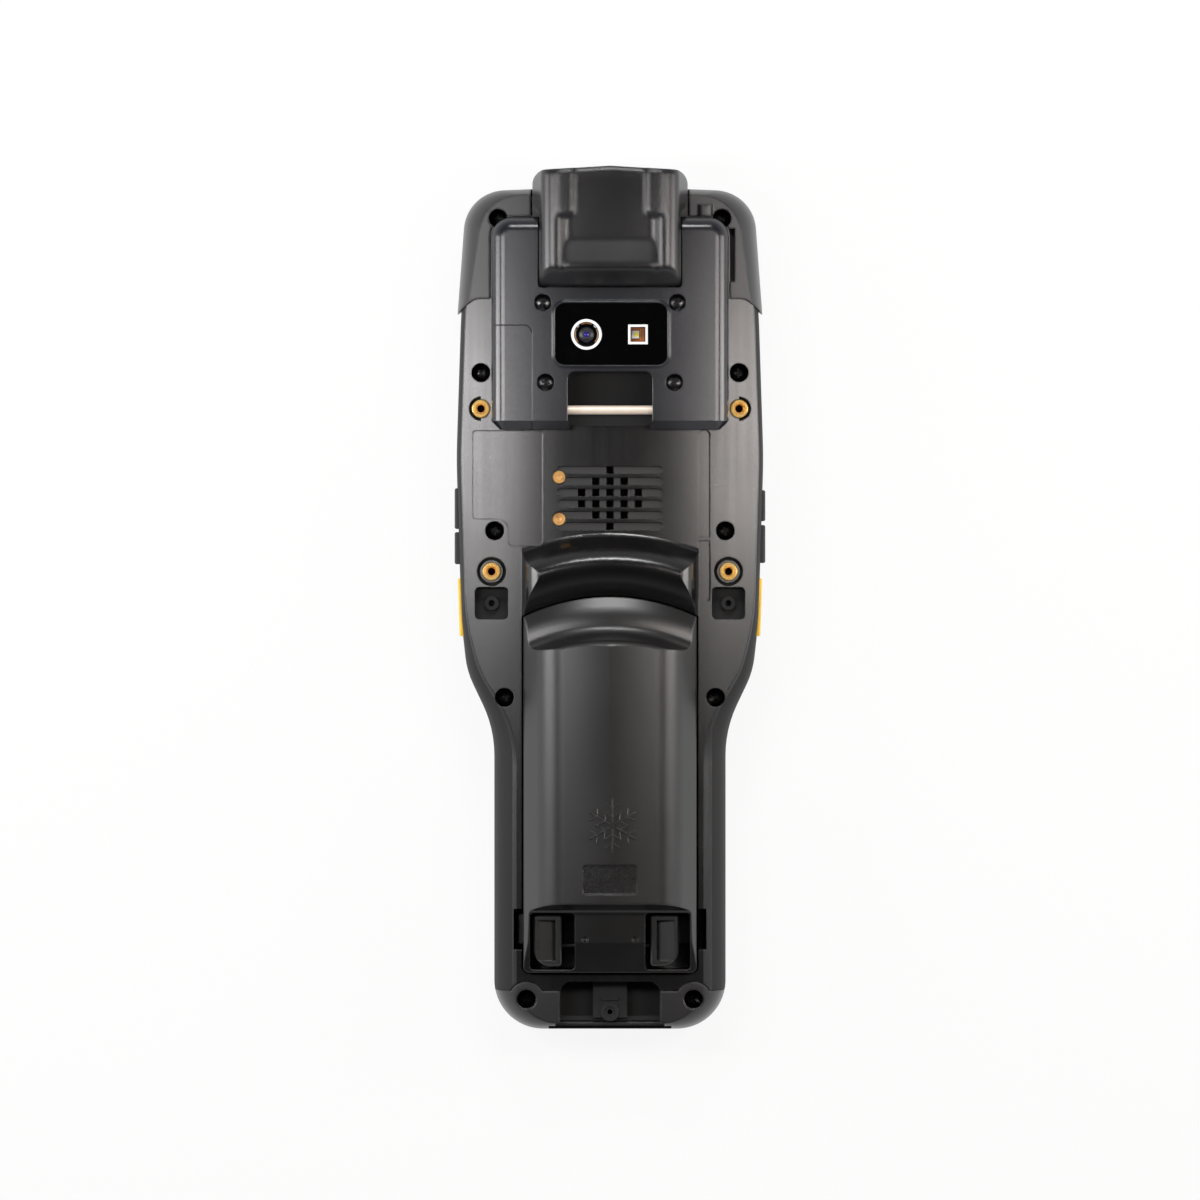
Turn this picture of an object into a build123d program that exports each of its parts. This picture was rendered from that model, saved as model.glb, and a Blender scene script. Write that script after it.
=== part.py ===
from build123d import *
import os

# Rugged barcode terminal, lying on its display side: +Z is the back, +Y the scanner end.
# Millimetres. The origin is under the middle of the outline, on the table.

os.makedirs("parts", exist_ok=True)

# ------------------------------------------------------------------ driving sizes

# Levels above the table
rim_depth = 1.0  # front rim that keeps the glass off the table
face_wall = 2.4  # thickness of the front face
split_level = 11.0  # where the two housings meet
cavity_level = 17.5  # ceiling of the electronics space
back_level = 24.0  # flat back of the head and rails of the grip

# Outline of the body, half widths and stations along the length
head_end = 105.5
head_crown = 1.3  # how much the scanner end falls off towards its corners
head_corner_half = 36.5
shoulder_half = 38.2
shoulder_y = 70.0
head_half = 39.3
head_y = 36.0
trigger_half = 38.0
trigger_y = -6.0
hip_half = 36.6
hip_y = -18.5
grip_half = 29.6
waist_y = -33.2
tail_end = -110.0
head_corner_radius = 10.5
shoulder_radius = 200.0
head_radius = 150.0
trigger_radius = 60.0
hip_radius = 22.0
waist_radius = 30.0
tail_corner_radius = 12.5
face_edge_radius = 2.4

# Walls and fits
side_wall = 4.0
bumper_wall = 1.8
rim_width = 4.6
fit_gap = 0.1  # between fixed pieces
slide_gap = 0.2  # round keys and triggers

# Seal between the housings
seal_inset = 2.3
seal_width = 0.8
seal_depth = 0.7

# Bumpers
bumper_lip_y = 77.0
boot_skirt = 6.0  # how far the boot's sides reach below its straight lip
boot_skirt_half = 39.15  # half width at the end of the skirt
lip_bend = (34.6, 0.5)  # where the lip starts to sweep down: half width and drop
lip_sweep = (39.4, 4.4)  # where it leaves the side: half width and drop
lip_bend_radius = 4.0
boot_proud = 0.2  # how far the top boot stands out past the body's end
side_gap = (80.9, 94.4)  # stretch along which the gap beside the camera cover is wider
side_gap_width = 1.2
ridge_x = 24.3  # short half-round ridge beside the hood
ridge_length = 2.9
ridge_radius = 1.9
bumper_flange = 1.2  # thickness of a flange let into the back
cover_gap = 0.4  # round the camera cover and the hood
bumper_proud = 0.8
tail_seam_y = -99.8
tail_disc_radius = 4.6
tail_recess_half = 15.7  # shallow recess in the tail above the dock port
tail_recess_depth = 1.1

# Screws that hold the housings together
screw_places = ((28.5, 97.0), (32.9, 57.7), (29.4, 17.4), (26.9, -25.1), (21.3, -102.0))
screw_well_radius = 2.4
screw_head_radius = 2.1
screw_head_height = 1.8
screw_seat_level = 15.0
screw_shank_radius = 0.85
screw_pilot_radius = 0.95
screw_tip_level = 6.0
screw_boss_radius = 3.2

# Brass inserts for a hand strap or a pistol grip
upper_insert = (32.9, 48.5)
lower_insert = (30.2, 7.0)
insert_radius = 2.4
insert_bore_radius = 1.0
insert_depth = 5.0
insert_proud = 0.3
insert_recess_radius = 3.7
upper_recess_radius = 3.05  # the upper ones open only away from the camera cover
insert_wall = 0.5  # collar round an insert in its recess
insert_collar_drop = 0.5
insert_recess_depth = 1.6

# Square pockets below the lower inserts
pocket_centre = (30.2, -1.1)
pocket_width = 8.5
pocket_length = 8.2
pocket_depth = 3.4
pocket_boss_radius = 1.8
pocket_boss_height = 1.4
pocket_hole_radius = 0.8
pocket_hole_depth = 2.4
pocket_corner_radius = 1.2

# Label recess, left of the grille
label_left = -35.0
label_right = -17.2
label_top = 42.9
label_bottom = 13.5
label_step_y = 20.4
label_step_x = -25.9
label_depth = 0.35

# Channel right of the grille
channel_x = 24.1
channel_width = 3.1
channel_top = 43.1
channel_bottom = -0.8
channel_depth = 1.5
channel_bar_y = 15.3
channel_bar_width = 0.9

# Speaker grille
grille_centre_y = 25.7
slot_pitch = 2.87
slot_length = 26.9
slot_width = 1.83
slot_depth = 0.6
speaker_dish_depth = 0.8
speaker_frame = 1.4
grille_window_counts = (1, 3, 5, 5, 3, 1)
window_pitch = 3.6
window_width = 1.95
speaker_radius = 11.5
speaker_height = 4.0

# Gold contact discs for a pistol grip
contact_x = -13.0
contact_pitch = 10.7
contact_radius = 1.7
contact_depth = 1.2
contact_dimple = 0.25

# Camera cover
cover_half = 30.2
cover_top = 97.2
cover_bottom = 43.1
cover_height = 7.0
cover_corner_radius = 5.0
cover_edge_radius = 3.4
cover_foot_slope = 2.2
cover_gap_half = 18.3
cover_gap_bottom = 79.2
cover_screws = ((17.1, 75.4), (16.4, 55.1))
cover_screw_radius = 2.0
cover_screw_sink = 1.3
cover_screw_bite = 4.0  # into the rear housing
notch_half = 10.8
notch_top = 57.9
notch_radius = 2.0
strap_recess_depth = 3.4
pin_y = 48.1
pin_radius = 1.15
pin_level = 28.0
pin_bite = 1.5

# Side access cover, the lower left corner of the camera cover
access_right = -19.9
access_top = 69.6
access_radius = 2.0

# Camera window and what shows through it
window_centre = (0.3, 67.4)
window_size = (28.6, 15.7)
window_radius = 2.6
window_thickness = 1.0
window_sink = 0.3
window_rim = 0.8
camera_place = (-6.0, 67.3)
camera_radius = 3.9
camera_bore_radius = 3.2
lens_radius = 2.2
flash_place = (7.1, 67.3)
flash_half = 1.9
flash_frame_width = 0.6
ring_proud = 0.1
camera_depth = 4.2
flash_depth = 2.6
flash_board_thickness = 0.8
led_height = 0.6
lens_seat_depth = 1.9  # below the window's seat
lens_height = 0.9
lens_edge = 0.3
lens_gap = 0.1
funnel_depth = 1.3
module_sink = 0.2
module_rim = 0.3

# Scanner hood
hood_front = 110.0
hood_rear = 79.6
hood_half = 19.8
hood_waist_half = 18.0
hood_waist_y = 99.0
hood_waist_slope = 1.2  # half length of the slope from the waist to the full width
hood_level = 38.0
hood_dish = 1.4
hood_dish_half = 11.7
hood_lobe_lean = 3.0  # how far a lobe's top edge stands in from the side
hood_lobe_radius = 3.6
hood_dish_radius = 3.0
hood_side_radius = 6.0
hood_front_crown = 1.2  # how much the front falls off towards its corners
hood_plan_radii = (1.0, 2.0, 2.0, 3.6)
dish_fade = (0.5, 7.0)  # where the dish begins and is full, from the rear facet's top
hood_foot_level = 12.0
hood_facet_y = 84.5
hood_facet_level = 32.5
pad_x = 11.6
pad_width = 4.7
pad_rear = 97.2
pad_proud = 0.6
pad_edge = 0.3
pad_corner_radius = 1.6
pad_front_sink = 0.2
scan_window_half = 15.0
scan_window_low = 25.6
scan_window_high = 35.2
scan_window_thickness = 1.2
scan_window_sink = 1.0
engine_half = 11.0
engine_length = 13.0
engine_setback = 2.0  # from the window to the engine's face
engine_room_half = 13.8
engine_room_rim = 0.8  # what the room leaves round the window's seat

# Battery pack
battery_half = 22.1
battery_bottom = -95.2
battery_top = 0.5
battery_gap = 0.4
battery_level = 36.0
battery_shoulder_level = 27.0
battery_floor_level = 13.0
battery_base_thickness = 2.0
well_floor_gap = 0.3
arch_radius = 50.0
arch_edge_level = 26.4
cell_end_wall = 1.2  # from the cells' room to the edge where the barrel breaks off
barrel_end_arc = 50.0  # plan radius of that edge
barrel_end_run = 3.6  # length over which the top falls off towards it
barrel_end_drop = 0.25
groove_run = 2.4  # length of the steep fall into the finger groove
groove_level = 29.0
shelf_y = -3.5
shelf_level = 28.4
step_over_cells = 0.2  # how far the step's upper edge stands over the cells' room
step_run = 1.8
step_level = 29.0
toe_bend_y = -87.6
toe_bend_level = 28.6
toe_level = 26.2
cell_radius = 9.1
cell_length = 65.0
cell_low_y = -77.4
cell_gap = 0.3
barrel_crown = 0.5  # how much the barrel's top falls off towards its shoulders
barrel_top_share = 0.72  # share of the half width that the top takes up
barrel_low_radius = 2.0
barrel_shoulder_radius = 9.0
battery_corner_radius = 1.5
dimple_place = (6.4, -86.5)
dimple_radius = 0.7
dimple_level = 28.0
texture_x = (-6.8, 6.8)
texture_y = (-75.0, -67.6)
texture_depth = 0.55
texture_corner_radius = 0.9

# Swell of the rear housing above the battery
swell_half = 22.8
swell_lean = 2.0  # how far its sides lean in
swell_side_radius = 5.5
swell_crest = (58.9, 31.0)  # radius from the arch's centre and level of the crest
swell_front = (54.8, 29.8)  # on the rounded face towards the battery
swell_slope = (62.3, 28.8)  # on the slope towards the grille
swell_hollow = (64.8, 25.4)  # where the slope turns hollow
swell_foot_radius = 67.2
swell_foot_sink = 0.2  # how far the foot runs under the back
swell_face_slope = (1.0, 0.9)  # direction of the profile at the battery's edge
swell_foot_slope = (1.0, -0.15)

# Battery latches
latch_pocket_outer = 20.4
latch_rest_gap = 0.9  # from a latch at rest to the outer wall of its pocket
latch_pocket_inner = 9.0
latch_pocket_top = -79.9
latch_pocket_bottom = -94.4
latch_pocket_floor = 15.3
latch_half_gap = 0.3
latch_width = 7.2
latch_top = -80.5
latch_bottom = -93.4
latch_level = 27.8
latch_corner_radius = 4.2
thumb_rim = (1.1, 1.5)  # what the thumb recess leaves at the outer and the inner side
thumb_ends = 1.3
thumb_depths = (0.9, 2.2)  # at the outer and the inner side
right_latch_shift = 2.0  # the right latch stands this much further in
bolt_reach = 4.7  # how far the bolt stands out of the latch
bolt_low = 15.7
bolt_height = 2.8
bolt_top_y = -80.5
bolt_bottom_y = -88.0
rod_y = -88.3
rod_radius = 0.55
rod_level = 24.0
rod_reach = 5.6
rod_end_room = 0.6
notch_outer = 24.5
strike_outer = 25.5
strike_top_y = -79.0
strike_bottom_y = -89.4

# Lower strap anchor
anchor_half = 12.75
anchor_top = -97.5
anchor_floor = 16.0
anchor_lip_level = 18.6
anchor_lip = 1.2  # thickness of the pocket's low end wall
anchor_lip_setback = 0.55  # from the bumper's inner face
anchor_corner_radius = 3.0
anchor_block_half = 4.35
anchor_bar = (4.4, 0.8)  # raised bar on the block
anchor_bar_y = -102.1
anchor_bar_height = 0.3
anchor_block_level = 19.6
anchor_block_run = 1.5  # past the boss's centre
anchor_boss_y = -105.4
anchor_boss_radius = 2.4
anchor_ring_radius = 1.4
anchor_ring_depth = 0.3
anchor_hole_radius = 0.65
anchor_hole_depth = 6.1
anchor_boss_proud = 0.5

# Display
glass_half = 29.5
glass_low = -11.0
glass_high = 95.0
glass_radius = 4.0
glass_thickness = 1.2
glass_sink = 0.2
panel_border = 2.6
panel_thickness = 2.0
frame_thickness = 1.0
frame_post_radius = 1.8
frame_window = (9.0, 14.0)
frame_window_pitch = (16.0, 22.0)
chips = (((-20, 4), (50, 76), 1.6), ((-20, -4), (14, 36), 1.4), ((8, 20), (44, 58), 1.0))
board_half = 25.0
well_end_wall = 2.6  # between the battery well and the electronics space
board_end_gap = 1.4
frame_post_inset = 4.0
frame_post_ends = (18.0, 6.0)  # from the ends of the panel
board_standoff = 0.8
board_thickness = 1.2

# Keys on the front
key_travel = 0.9
key_sink = 0.4  # key tops stay this far above the table
key_flange = 0.8
key_flange_thickness = 0.8
key_corner = 1.1
key_edge = 0.5
number_key = (9.6, 7.6)
number_pitch = (11.8, 10.4)
number_rows = 4
number_columns = 4
number_centre_y = -74.0
scan_key = (17.0, 11.5)
scan_key_y = -40.0
soft_key = (10.6, 8.6)
soft_key_x = 18.2
key_board_gap = 0.2
key_board_thickness = 1.2
key_board_side_gap = 1.2
key_board_margins = (6.0, 8.0)  # past the centres of the outermost rows
key_board_post_x = 20.0
key_board_post_inset = 5.0

# Side keys and triggers
button_low = 12.0
button_high = 16.6
button_wall = 3.9  # from the body's widest outline to the face that the flanges lie against
button_flange = 0.6  # stands out above and below the cap
button_flange_thickness = 1.0
button_proud = 0.4  # past the body's widest outline
left_buttons = ((17.9, 28.3), (8.9, 17.1))
right_buttons = ((19.9, 27.8), (9.2, 18.9))
trigger_span = (-9.5, 5.3)
trigger_wall = 3.6
trigger_proud = 0.55
button_room = 2.9  # depth of the space behind the flanges
button_room_ends = 2.0  # past the outermost side keys
trigger_room_ends = 1.5

# Dock connector in the tail
dock_half = 12.5
dock_low = 4.6
dock_high = 9.4
dock_depth = 8.0
dock_gap = 0.3
dock_setback = 1.2
dock_pin_pitch = 2.4
dock_pin_count = 9
dock_pin = (1.2, 2.6)
dock_pin_depth = 1.0

# Battery contacts
blade_y = -70.0
blade_pitch = 4.0
blade_count = 5
blade_width = 1.2
blade_length = 3.0
pad_seat_grow = 0.6  # of a pad's seat round its blade
pad_seat_depth = 0.4

# ------------------------------------------------------------------ helpers


def export(piece, name):
    """Label a finished piece and write it to its own file."""
    piece.label = name
    export_step(piece, f"parts/{name}.step")


def both_sides(places):
    """The given places and their mirror images in the middle plane."""
    return [(side * x, y) for x, y in places for side in (-1, 1)]


def body_outline(level, head=0.0, grip=0.0, end=0.0):
    """Outline of the body at a level, drawn in at the head, the grip and both ends."""
    with BuildSketch(Plane.XY.offset(level)) as outline:
        with BuildLine():
            FilletPolyline(
                (0, head_end - end),
                (head_corner_half - head, head_end - head_crown - end),
                (shoulder_half - head, shoulder_y),
                (head_half - head, head_y),
                (trigger_half - head, trigger_y),
                (hip_half - (head + grip) / 2, hip_y),
                (grip_half - grip, waist_y),
                (grip_half - grip, tail_end + end),
                (0, tail_end + end),
                radius=(
                    head_corner_radius - head,
                    shoulder_radius,
                    head_radius,
                    trigger_radius,
                    hip_radius,
                    waist_radius,
                    tail_corner_radius - end,
                ),
            )
            mirror(about=Plane.YZ)
        make_face()
    return outline.sketch


def inset_outline(level, inset):
    """Outline of the body at a level, drawn in evenly."""
    return body_outline(level, inset, inset, inset)


def plate_outline(level, x_range, y_range, radius=0.0):
    """Rectangle at a level between two x and two y values."""
    width = x_range[1] - x_range[0]
    length = y_range[1] - y_range[0]
    centre = ((x_range[0] + x_range[1]) / 2, (y_range[0] + y_range[1]) / 2)
    with BuildSketch(Plane.XY.offset(level)) as plate:
        with Locations(centre):
            if radius:
                RectangleRounded(width, length, radius)
            else:
                Rectangle(width, length)
    return plate.sketch


def key_outline(level, x_range, y_range, corner):
    """Rectangle with its corners cut off, for the front keys and their holes."""
    with BuildSketch(Plane.XY.offset(level)) as outline:
        add(plate_outline(level, x_range, y_range))
        chamfer(outline.vertices(), corner)
    return outline.sketch


def discs(level, places, radius):
    """Equal circles at a level."""
    with BuildSketch(Plane.XY.offset(level)) as circles:
        with Locations(*places):
            Circle(radius)
    return circles.sketch


def cut(outline, depth):
    """Cut an outline out of the piece being built, upwards by the given depth."""
    extrude(outline, amount=depth, mode=Mode.SUBTRACT)


def rear_form(skin=0.0):
    """Outer form of the rear housing: the grip's flanks lean in much more than the head's."""
    rise = back_level - split_level
    sections = (
        (0.0, 0.0, 0.0, 0.0),
        (0.40, 0.15, 0.5, 0.2),
        (0.78, 0.5, 2.4, 0.8),
        (1.0, 1.4, 5.8, 1.8),
    )
    outlines = [
        body_outline(split_level + rise * share, head + skin, grip + skin, end + skin)
        for share, head, grip, end in sections
    ]
    with BuildPart() as form:
        loft(sections=outlines)
    return form.part


def front_form():
    """Outer form of the front housing, rounded over towards the table."""
    with BuildPart() as form:
        extrude(inset_outline(0, 0), amount=split_level)
        fillet(form.faces().sort_by(Axis.Z)[0].edges(), face_edge_radius)
    return form.part


def boot_zone(level):
    """Plan of the end that the boot covers: its lip is straight and sweeps down at the sides."""
    with BuildSketch(Plane.XY.offset(level)) as zone:
        with BuildLine():
            lip = FilletPolyline(
                (0, bumper_lip_y),
                (lip_bend[0], bumper_lip_y - lip_bend[1]),
                (lip_sweep[0], bumper_lip_y - lip_sweep[1]),
                (lip_sweep[0] + 2, bumper_lip_y - lip_sweep[1] - 1),
                radius=(lip_bend_radius, 1.0),
            )
            Polyline(lip @ 1, (lip_sweep[0] + 2, head_end + 9), (0, head_end + 9))
            mirror(about=Plane.YZ)
        make_face()
    return zone.sketch


def without_bumper_zones(form, core):
    """The form without its two ends, and the slimmer core that runs through all of it."""
    across = (-head_half - 2, head_half + 2)
    with BuildPart() as housing:
        add(form)
        cut(boot_zone(-1), 2 * back_level)
        cut(plate_outline(-1, across, (tail_end - 9, tail_seam_y)), 2 * back_level)
        add(core)
    return housing.part


def cover_outline(level, grow=0.0):
    """Outline of the camera cover with the gap for the hood and the strap notch."""
    with BuildSketch(Plane.XY.offset(level)) as outline:
        with BuildLine():
            FilletPolyline(
                (0, cover_gap_bottom + grow),
                (cover_gap_half - grow, cover_gap_bottom + grow),
                (cover_gap_half - grow, cover_top + grow),
                (cover_half + grow, cover_top + grow),
                (cover_half + grow, cover_bottom - grow),
                (notch_half - grow, cover_bottom - grow),
                (notch_half - grow, notch_top - grow),
                (0, notch_top - grow),
                radius=(0.8, 0, cover_corner_radius, 0, 0, notch_radius),
            )
            mirror(about=Plane.YZ)
        make_face()
    return outline.sketch


def radial_plane(degrees, centre_y):
    """Upright plane through an arc's centre, its first axis pointing outwards."""
    outward = Vector(0, 1, 0).rotate(Axis.Z, -degrees)
    return Plane((0, centre_y, 0), x_dir=outward, z_dir=outward.cross(Vector(0, 0, 1)))


arch_centre_y = battery_top - arch_radius
arch_axis = Axis((0, arch_centre_y, 0), (0, 0, 1))
arch_half_angle = 42.0
groove_half_angle = 26.0
corner_share = 2 - 2**0.5  # how much a cut corner grows when its outline is let out
well_floor = battery_floor_level - well_floor_gap
glass_seat = rim_depth + glass_sink + glass_thickness
face_inside = rim_depth + face_wall

# ------------------------------------------------------------------ places worked out


def span(centre, size, grow=0.0):
    """The two ends of a size laid about its centre, let out at both ends."""
    return (centre - size / 2 - grow, centre + size / 2 + grow)


def let_out(ends, grow):
    """A pair of ends moved apart by the given amount each."""
    return (ends[0] - grow, ends[1] + grow)


def ring(level, inset, width):
    """A band of the given width that follows the body's outline."""
    with BuildSketch(Plane.XY.offset(level)) as band:
        add(inset_outline(level, inset))
        add(inset_outline(level, inset + width), mode=Mode.SUBTRACT)
    return band.sketch


number_places = [
    (
        (column - (number_columns - 1) / 2) * number_pitch[0],
        number_centre_y + (row - (number_rows - 1) / 2) * number_pitch[1],
    )
    for row in range(number_rows)
    for column in range(number_columns)
]
front_keys = {
    f"number_key_{index + 1:02d}": (place, number_key) for index, place in enumerate(number_places)
}
front_keys["scan_key"] = ((0, scan_key_y), scan_key)
front_keys["soft_key_left"] = ((-soft_key_x, scan_key_y), soft_key)
front_keys["soft_key_right"] = ((soft_key_x, scan_key_y), soft_key)

screws = both_sides(screw_places)
glass_x = (-glass_half, glass_half)
glass_y = (glass_low, glass_high)
side_span = (-head_half - 2, head_half + 2)
button_wall_x = head_half - button_wall
trigger_wall_x = trigger_half - trigger_wall

# ------------------------------------------------------------------ front housing

rear_core = rear_form(bumper_wall)
with BuildPart() as front_core:
    extrude(inset_outline(0, bumper_wall), amount=split_level)

with BuildPart() as front_housing:
    add(without_bumper_zones(front_form(), front_core.part))
    cut(inset_outline(0, rim_width), rim_depth)
    cut(inset_outline(face_inside, side_wall), split_level)
    extrude(discs(face_inside, screws, screw_boss_radius), amount=split_level - face_inside)
    cut(discs(screw_tip_level, screws, screw_pilot_radius), split_level)
    cut(ring(split_level - seal_depth, seal_inset, seal_width), seal_depth)
    cut(
        plate_outline(0, let_out(glass_x, fit_gap), let_out(glass_y, fit_gap), glass_radius),
        glass_seat,
    )
    cut(
        plate_outline(0, let_out(glass_x, -panel_border), let_out(glass_y, -panel_border), 1.0),
        split_level,
    )
    for (x, y), (width, length) in front_keys.values():
        key_hole_x = span(x, width, slide_gap)
        key_hole_y = span(y, length, slide_gap)
        cut(key_outline(0, key_hole_x, key_hole_y, key_corner + corner_share * slide_gap), face_inside)
    cut(
        plate_outline(
            dock_low - dock_gap,
            (-dock_half - dock_gap, dock_half + dock_gap),
            (tail_end - 1, tail_end + dock_depth + dock_gap),
        ),
        dock_high - dock_low + 2 * dock_gap,
    )
export(front_housing.part, "front_housing")

# ------------------------------------------------------------------ bumper forms


def boot_outline(level, lip=0.0, corner=0.0):
    """Outline of the boot round the scanner end, drawn in at its lip and at its corners."""
    with BuildSketch(Plane.XY.offset(level)) as outline:
        with BuildLine():
            half = FilletPolyline(
                (0, head_end + boot_proud - corner / 3),
                (head_corner_half + boot_proud - corner, head_end - head_crown - corner / 3),
                (boot_skirt_half - lip, bumper_lip_y - boot_skirt),
                radius=head_corner_radius,
            )
            Polyline(half @ 1, (0, bumper_lip_y - boot_skirt))
            mirror(about=Plane.YZ)
        make_face()
    return outline.sketch


def hood_plan(level, grow=0.0):
    """Plan of the scanner hood with its rounded front corners."""
    with BuildSketch(Plane.XY.offset(level)) as plan:
        with BuildLine():
            FilletPolyline(
                (0, hood_rear - grow),
                (hood_waist_half + grow, hood_rear - grow),
                (hood_waist_half + grow, hood_waist_y - hood_waist_slope),
                (hood_half + grow, hood_waist_y + hood_waist_slope),
                (hood_half + grow, hood_front - hood_front_crown + grow),
                (0, hood_front + grow),
                radius=hood_plan_radii,
            )
            mirror(about=Plane.YZ)
        make_face()
    return plan.sketch


flange_level = back_level - bumper_flange


def boot_flange(level):
    """Where the boot's flange lies on the back: round the camera cover and the hood."""
    with BuildSketch(Plane.XY.offset(level)) as flange:
        add(boot_outline(level))
        add(boot_zone(level), mode=Mode.INTERSECT)
        add(cover_outline(level, cover_gap), mode=Mode.SUBTRACT)
        with Locations((0, cover_gap_bottom - 5)):
            Rectangle(2 * hood_half, hood_front, align=(Align.CENTER, Align.MIN), mode=Mode.SUBTRACT)
    return flange.sketch


def tail_flange(level, grow=0.0):
    """Where the tail bumper's flange lies on the back: below the seam and round the screws."""
    with BuildSketch(Plane.XY.offset(level)) as flange:
        with Locations((0, tail_seam_y + grow)):
            Rectangle(2 * grip_half + 4, 20, align=(Align.CENTER, Align.MAX))
        with Locations(*both_sides(screw_places[-1:])):
            Circle(tail_disc_radius + grow)
    return flange.sketch


# ------------------------------------------------------------------ rear housing


def barrel_outline(y, grow=0.0, low=battery_floor_level):
    """Cross-section of the battery: upright sides, sloping shoulders and a crowned top."""
    half = battery_half + grow
    with BuildSketch(Plane.XZ.offset(-y)) as section:
        with BuildLine():
            FilletPolyline(
                (0, low),
                (half, low),
                (half, battery_shoulder_level),
                (half * barrel_top_share, battery_level - barrel_crown),
                (0, battery_level),
                radius=(0, barrel_low_radius, barrel_shoulder_radius),
            )
            mirror(about=Plane.YZ)
        make_face()
    return section.sketch


def battery_outline(level, grow=0.0):
    """Plan of the battery with its arched top edge."""
    half = battery_half + grow
    bottom = battery_bottom - grow
    radius = arch_radius + grow
    side_top = arch_centre_y + (radius**2 - half**2) ** 0.5
    with BuildSketch(Plane.XY.offset(level)) as plan:
        with BuildLine():
            ThreePointArc((-half, side_top), (0, arch_centre_y + radius), (half, side_top))
            FilletPolyline(
                (half, side_top),
                (half, bottom),
                (-half, bottom),
                (-half, side_top),
                radius=battery_corner_radius + grow,
            )
        make_face()
    return plan.sketch


def swell():
    """The hump above the battery: a crest turned about the arch's centre."""
    start = radial_plane(arch_half_angle, arch_centre_y)
    with BuildPart() as hump:
        with BuildSketch(start) as crest:
            with BuildLine():
                inner = arch_radius - 1
                foot = Line((swell_foot_radius, cavity_level), (inner, cavity_level))
                rise = Line(foot @ 1, (inner, arch_edge_level - 0.3))
                edge = Line(rise @ 1, (arch_radius + battery_gap, arch_edge_level))
                top = Spline(
                    edge @ 1,
                    swell_front,
                    swell_crest,
                    swell_slope,
                    swell_hollow,
                    (swell_foot_radius, back_level - swell_foot_sink),
                    tangents=(swell_face_slope, swell_foot_slope),
                )
                Line(top @ 1, foot @ 0)
            make_face()
        revolve(axis=arch_axis, revolution_arc=2 * arch_half_angle)
        with BuildSketch(Plane.XZ.offset(40)) as section:
            with BuildLine():
                FilletPolyline(
                    (0, cavity_level),
                    (swell_half, cavity_level),
                    (swell_half, back_level - 1),
                    (swell_half - swell_lean, swell_crest[1] + 0.2),
                    (0, swell_crest[1] + 0.4),
                    radius=(0, 0, swell_side_radius),
                )
                mirror(about=Plane.YZ)
            make_face()
        extrude(amount=-80, mode=Mode.INTERSECT)
    return hump.part


def label_outline():
    """Shallow label place, stepped round the screw hole at its lower corner."""
    with BuildSketch(Plane.XY.offset(back_level - label_depth)) as outline:
        with BuildLine():
            FilletPolyline(
                (label_left, label_top),
                (label_right, label_top),
                (label_right, label_bottom),
                (label_step_x, label_bottom),
                (label_step_x, label_step_y),
                (label_left, label_step_y),
                radius=(0.8, 0.8, 0.8, 1.2, 3.0, 0.8),
                close=True,
            )
        make_face()
    return outline.sketch


def grille_rows():
    """Places of the grille's slots, from the scanner end to the tail."""
    count = len(grille_window_counts)
    return [grille_centre_y + ((count - 1) / 2 - row) * slot_pitch for row in range(count)]


buttons = {}
for side, spans, word in ((-1, left_buttons, "left"), (1, right_buttons, "right")):
    for number, ends in enumerate(spans):
        buttons[f"side_key_{word}_{number + 1}"] = (side, ends)
triggers = {"trigger_left": -1, "trigger_right": 1}


def x_range(side, near, far):
    """Two distances from the middle plane, on the given side, in rising order."""
    return tuple(sorted((side * near, side * far)))


def side_window(side, ends, wall_x):
    """Window through the side wall, and the space behind it for the flange."""
    y_cut = let_out(ends, slide_gap)
    cut(
        plate_outline(button_low - slide_gap, x_range(side, wall_x - 1, head_half + 2), y_cut),
        button_high - button_low + 2 * slide_gap,
    )


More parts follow.
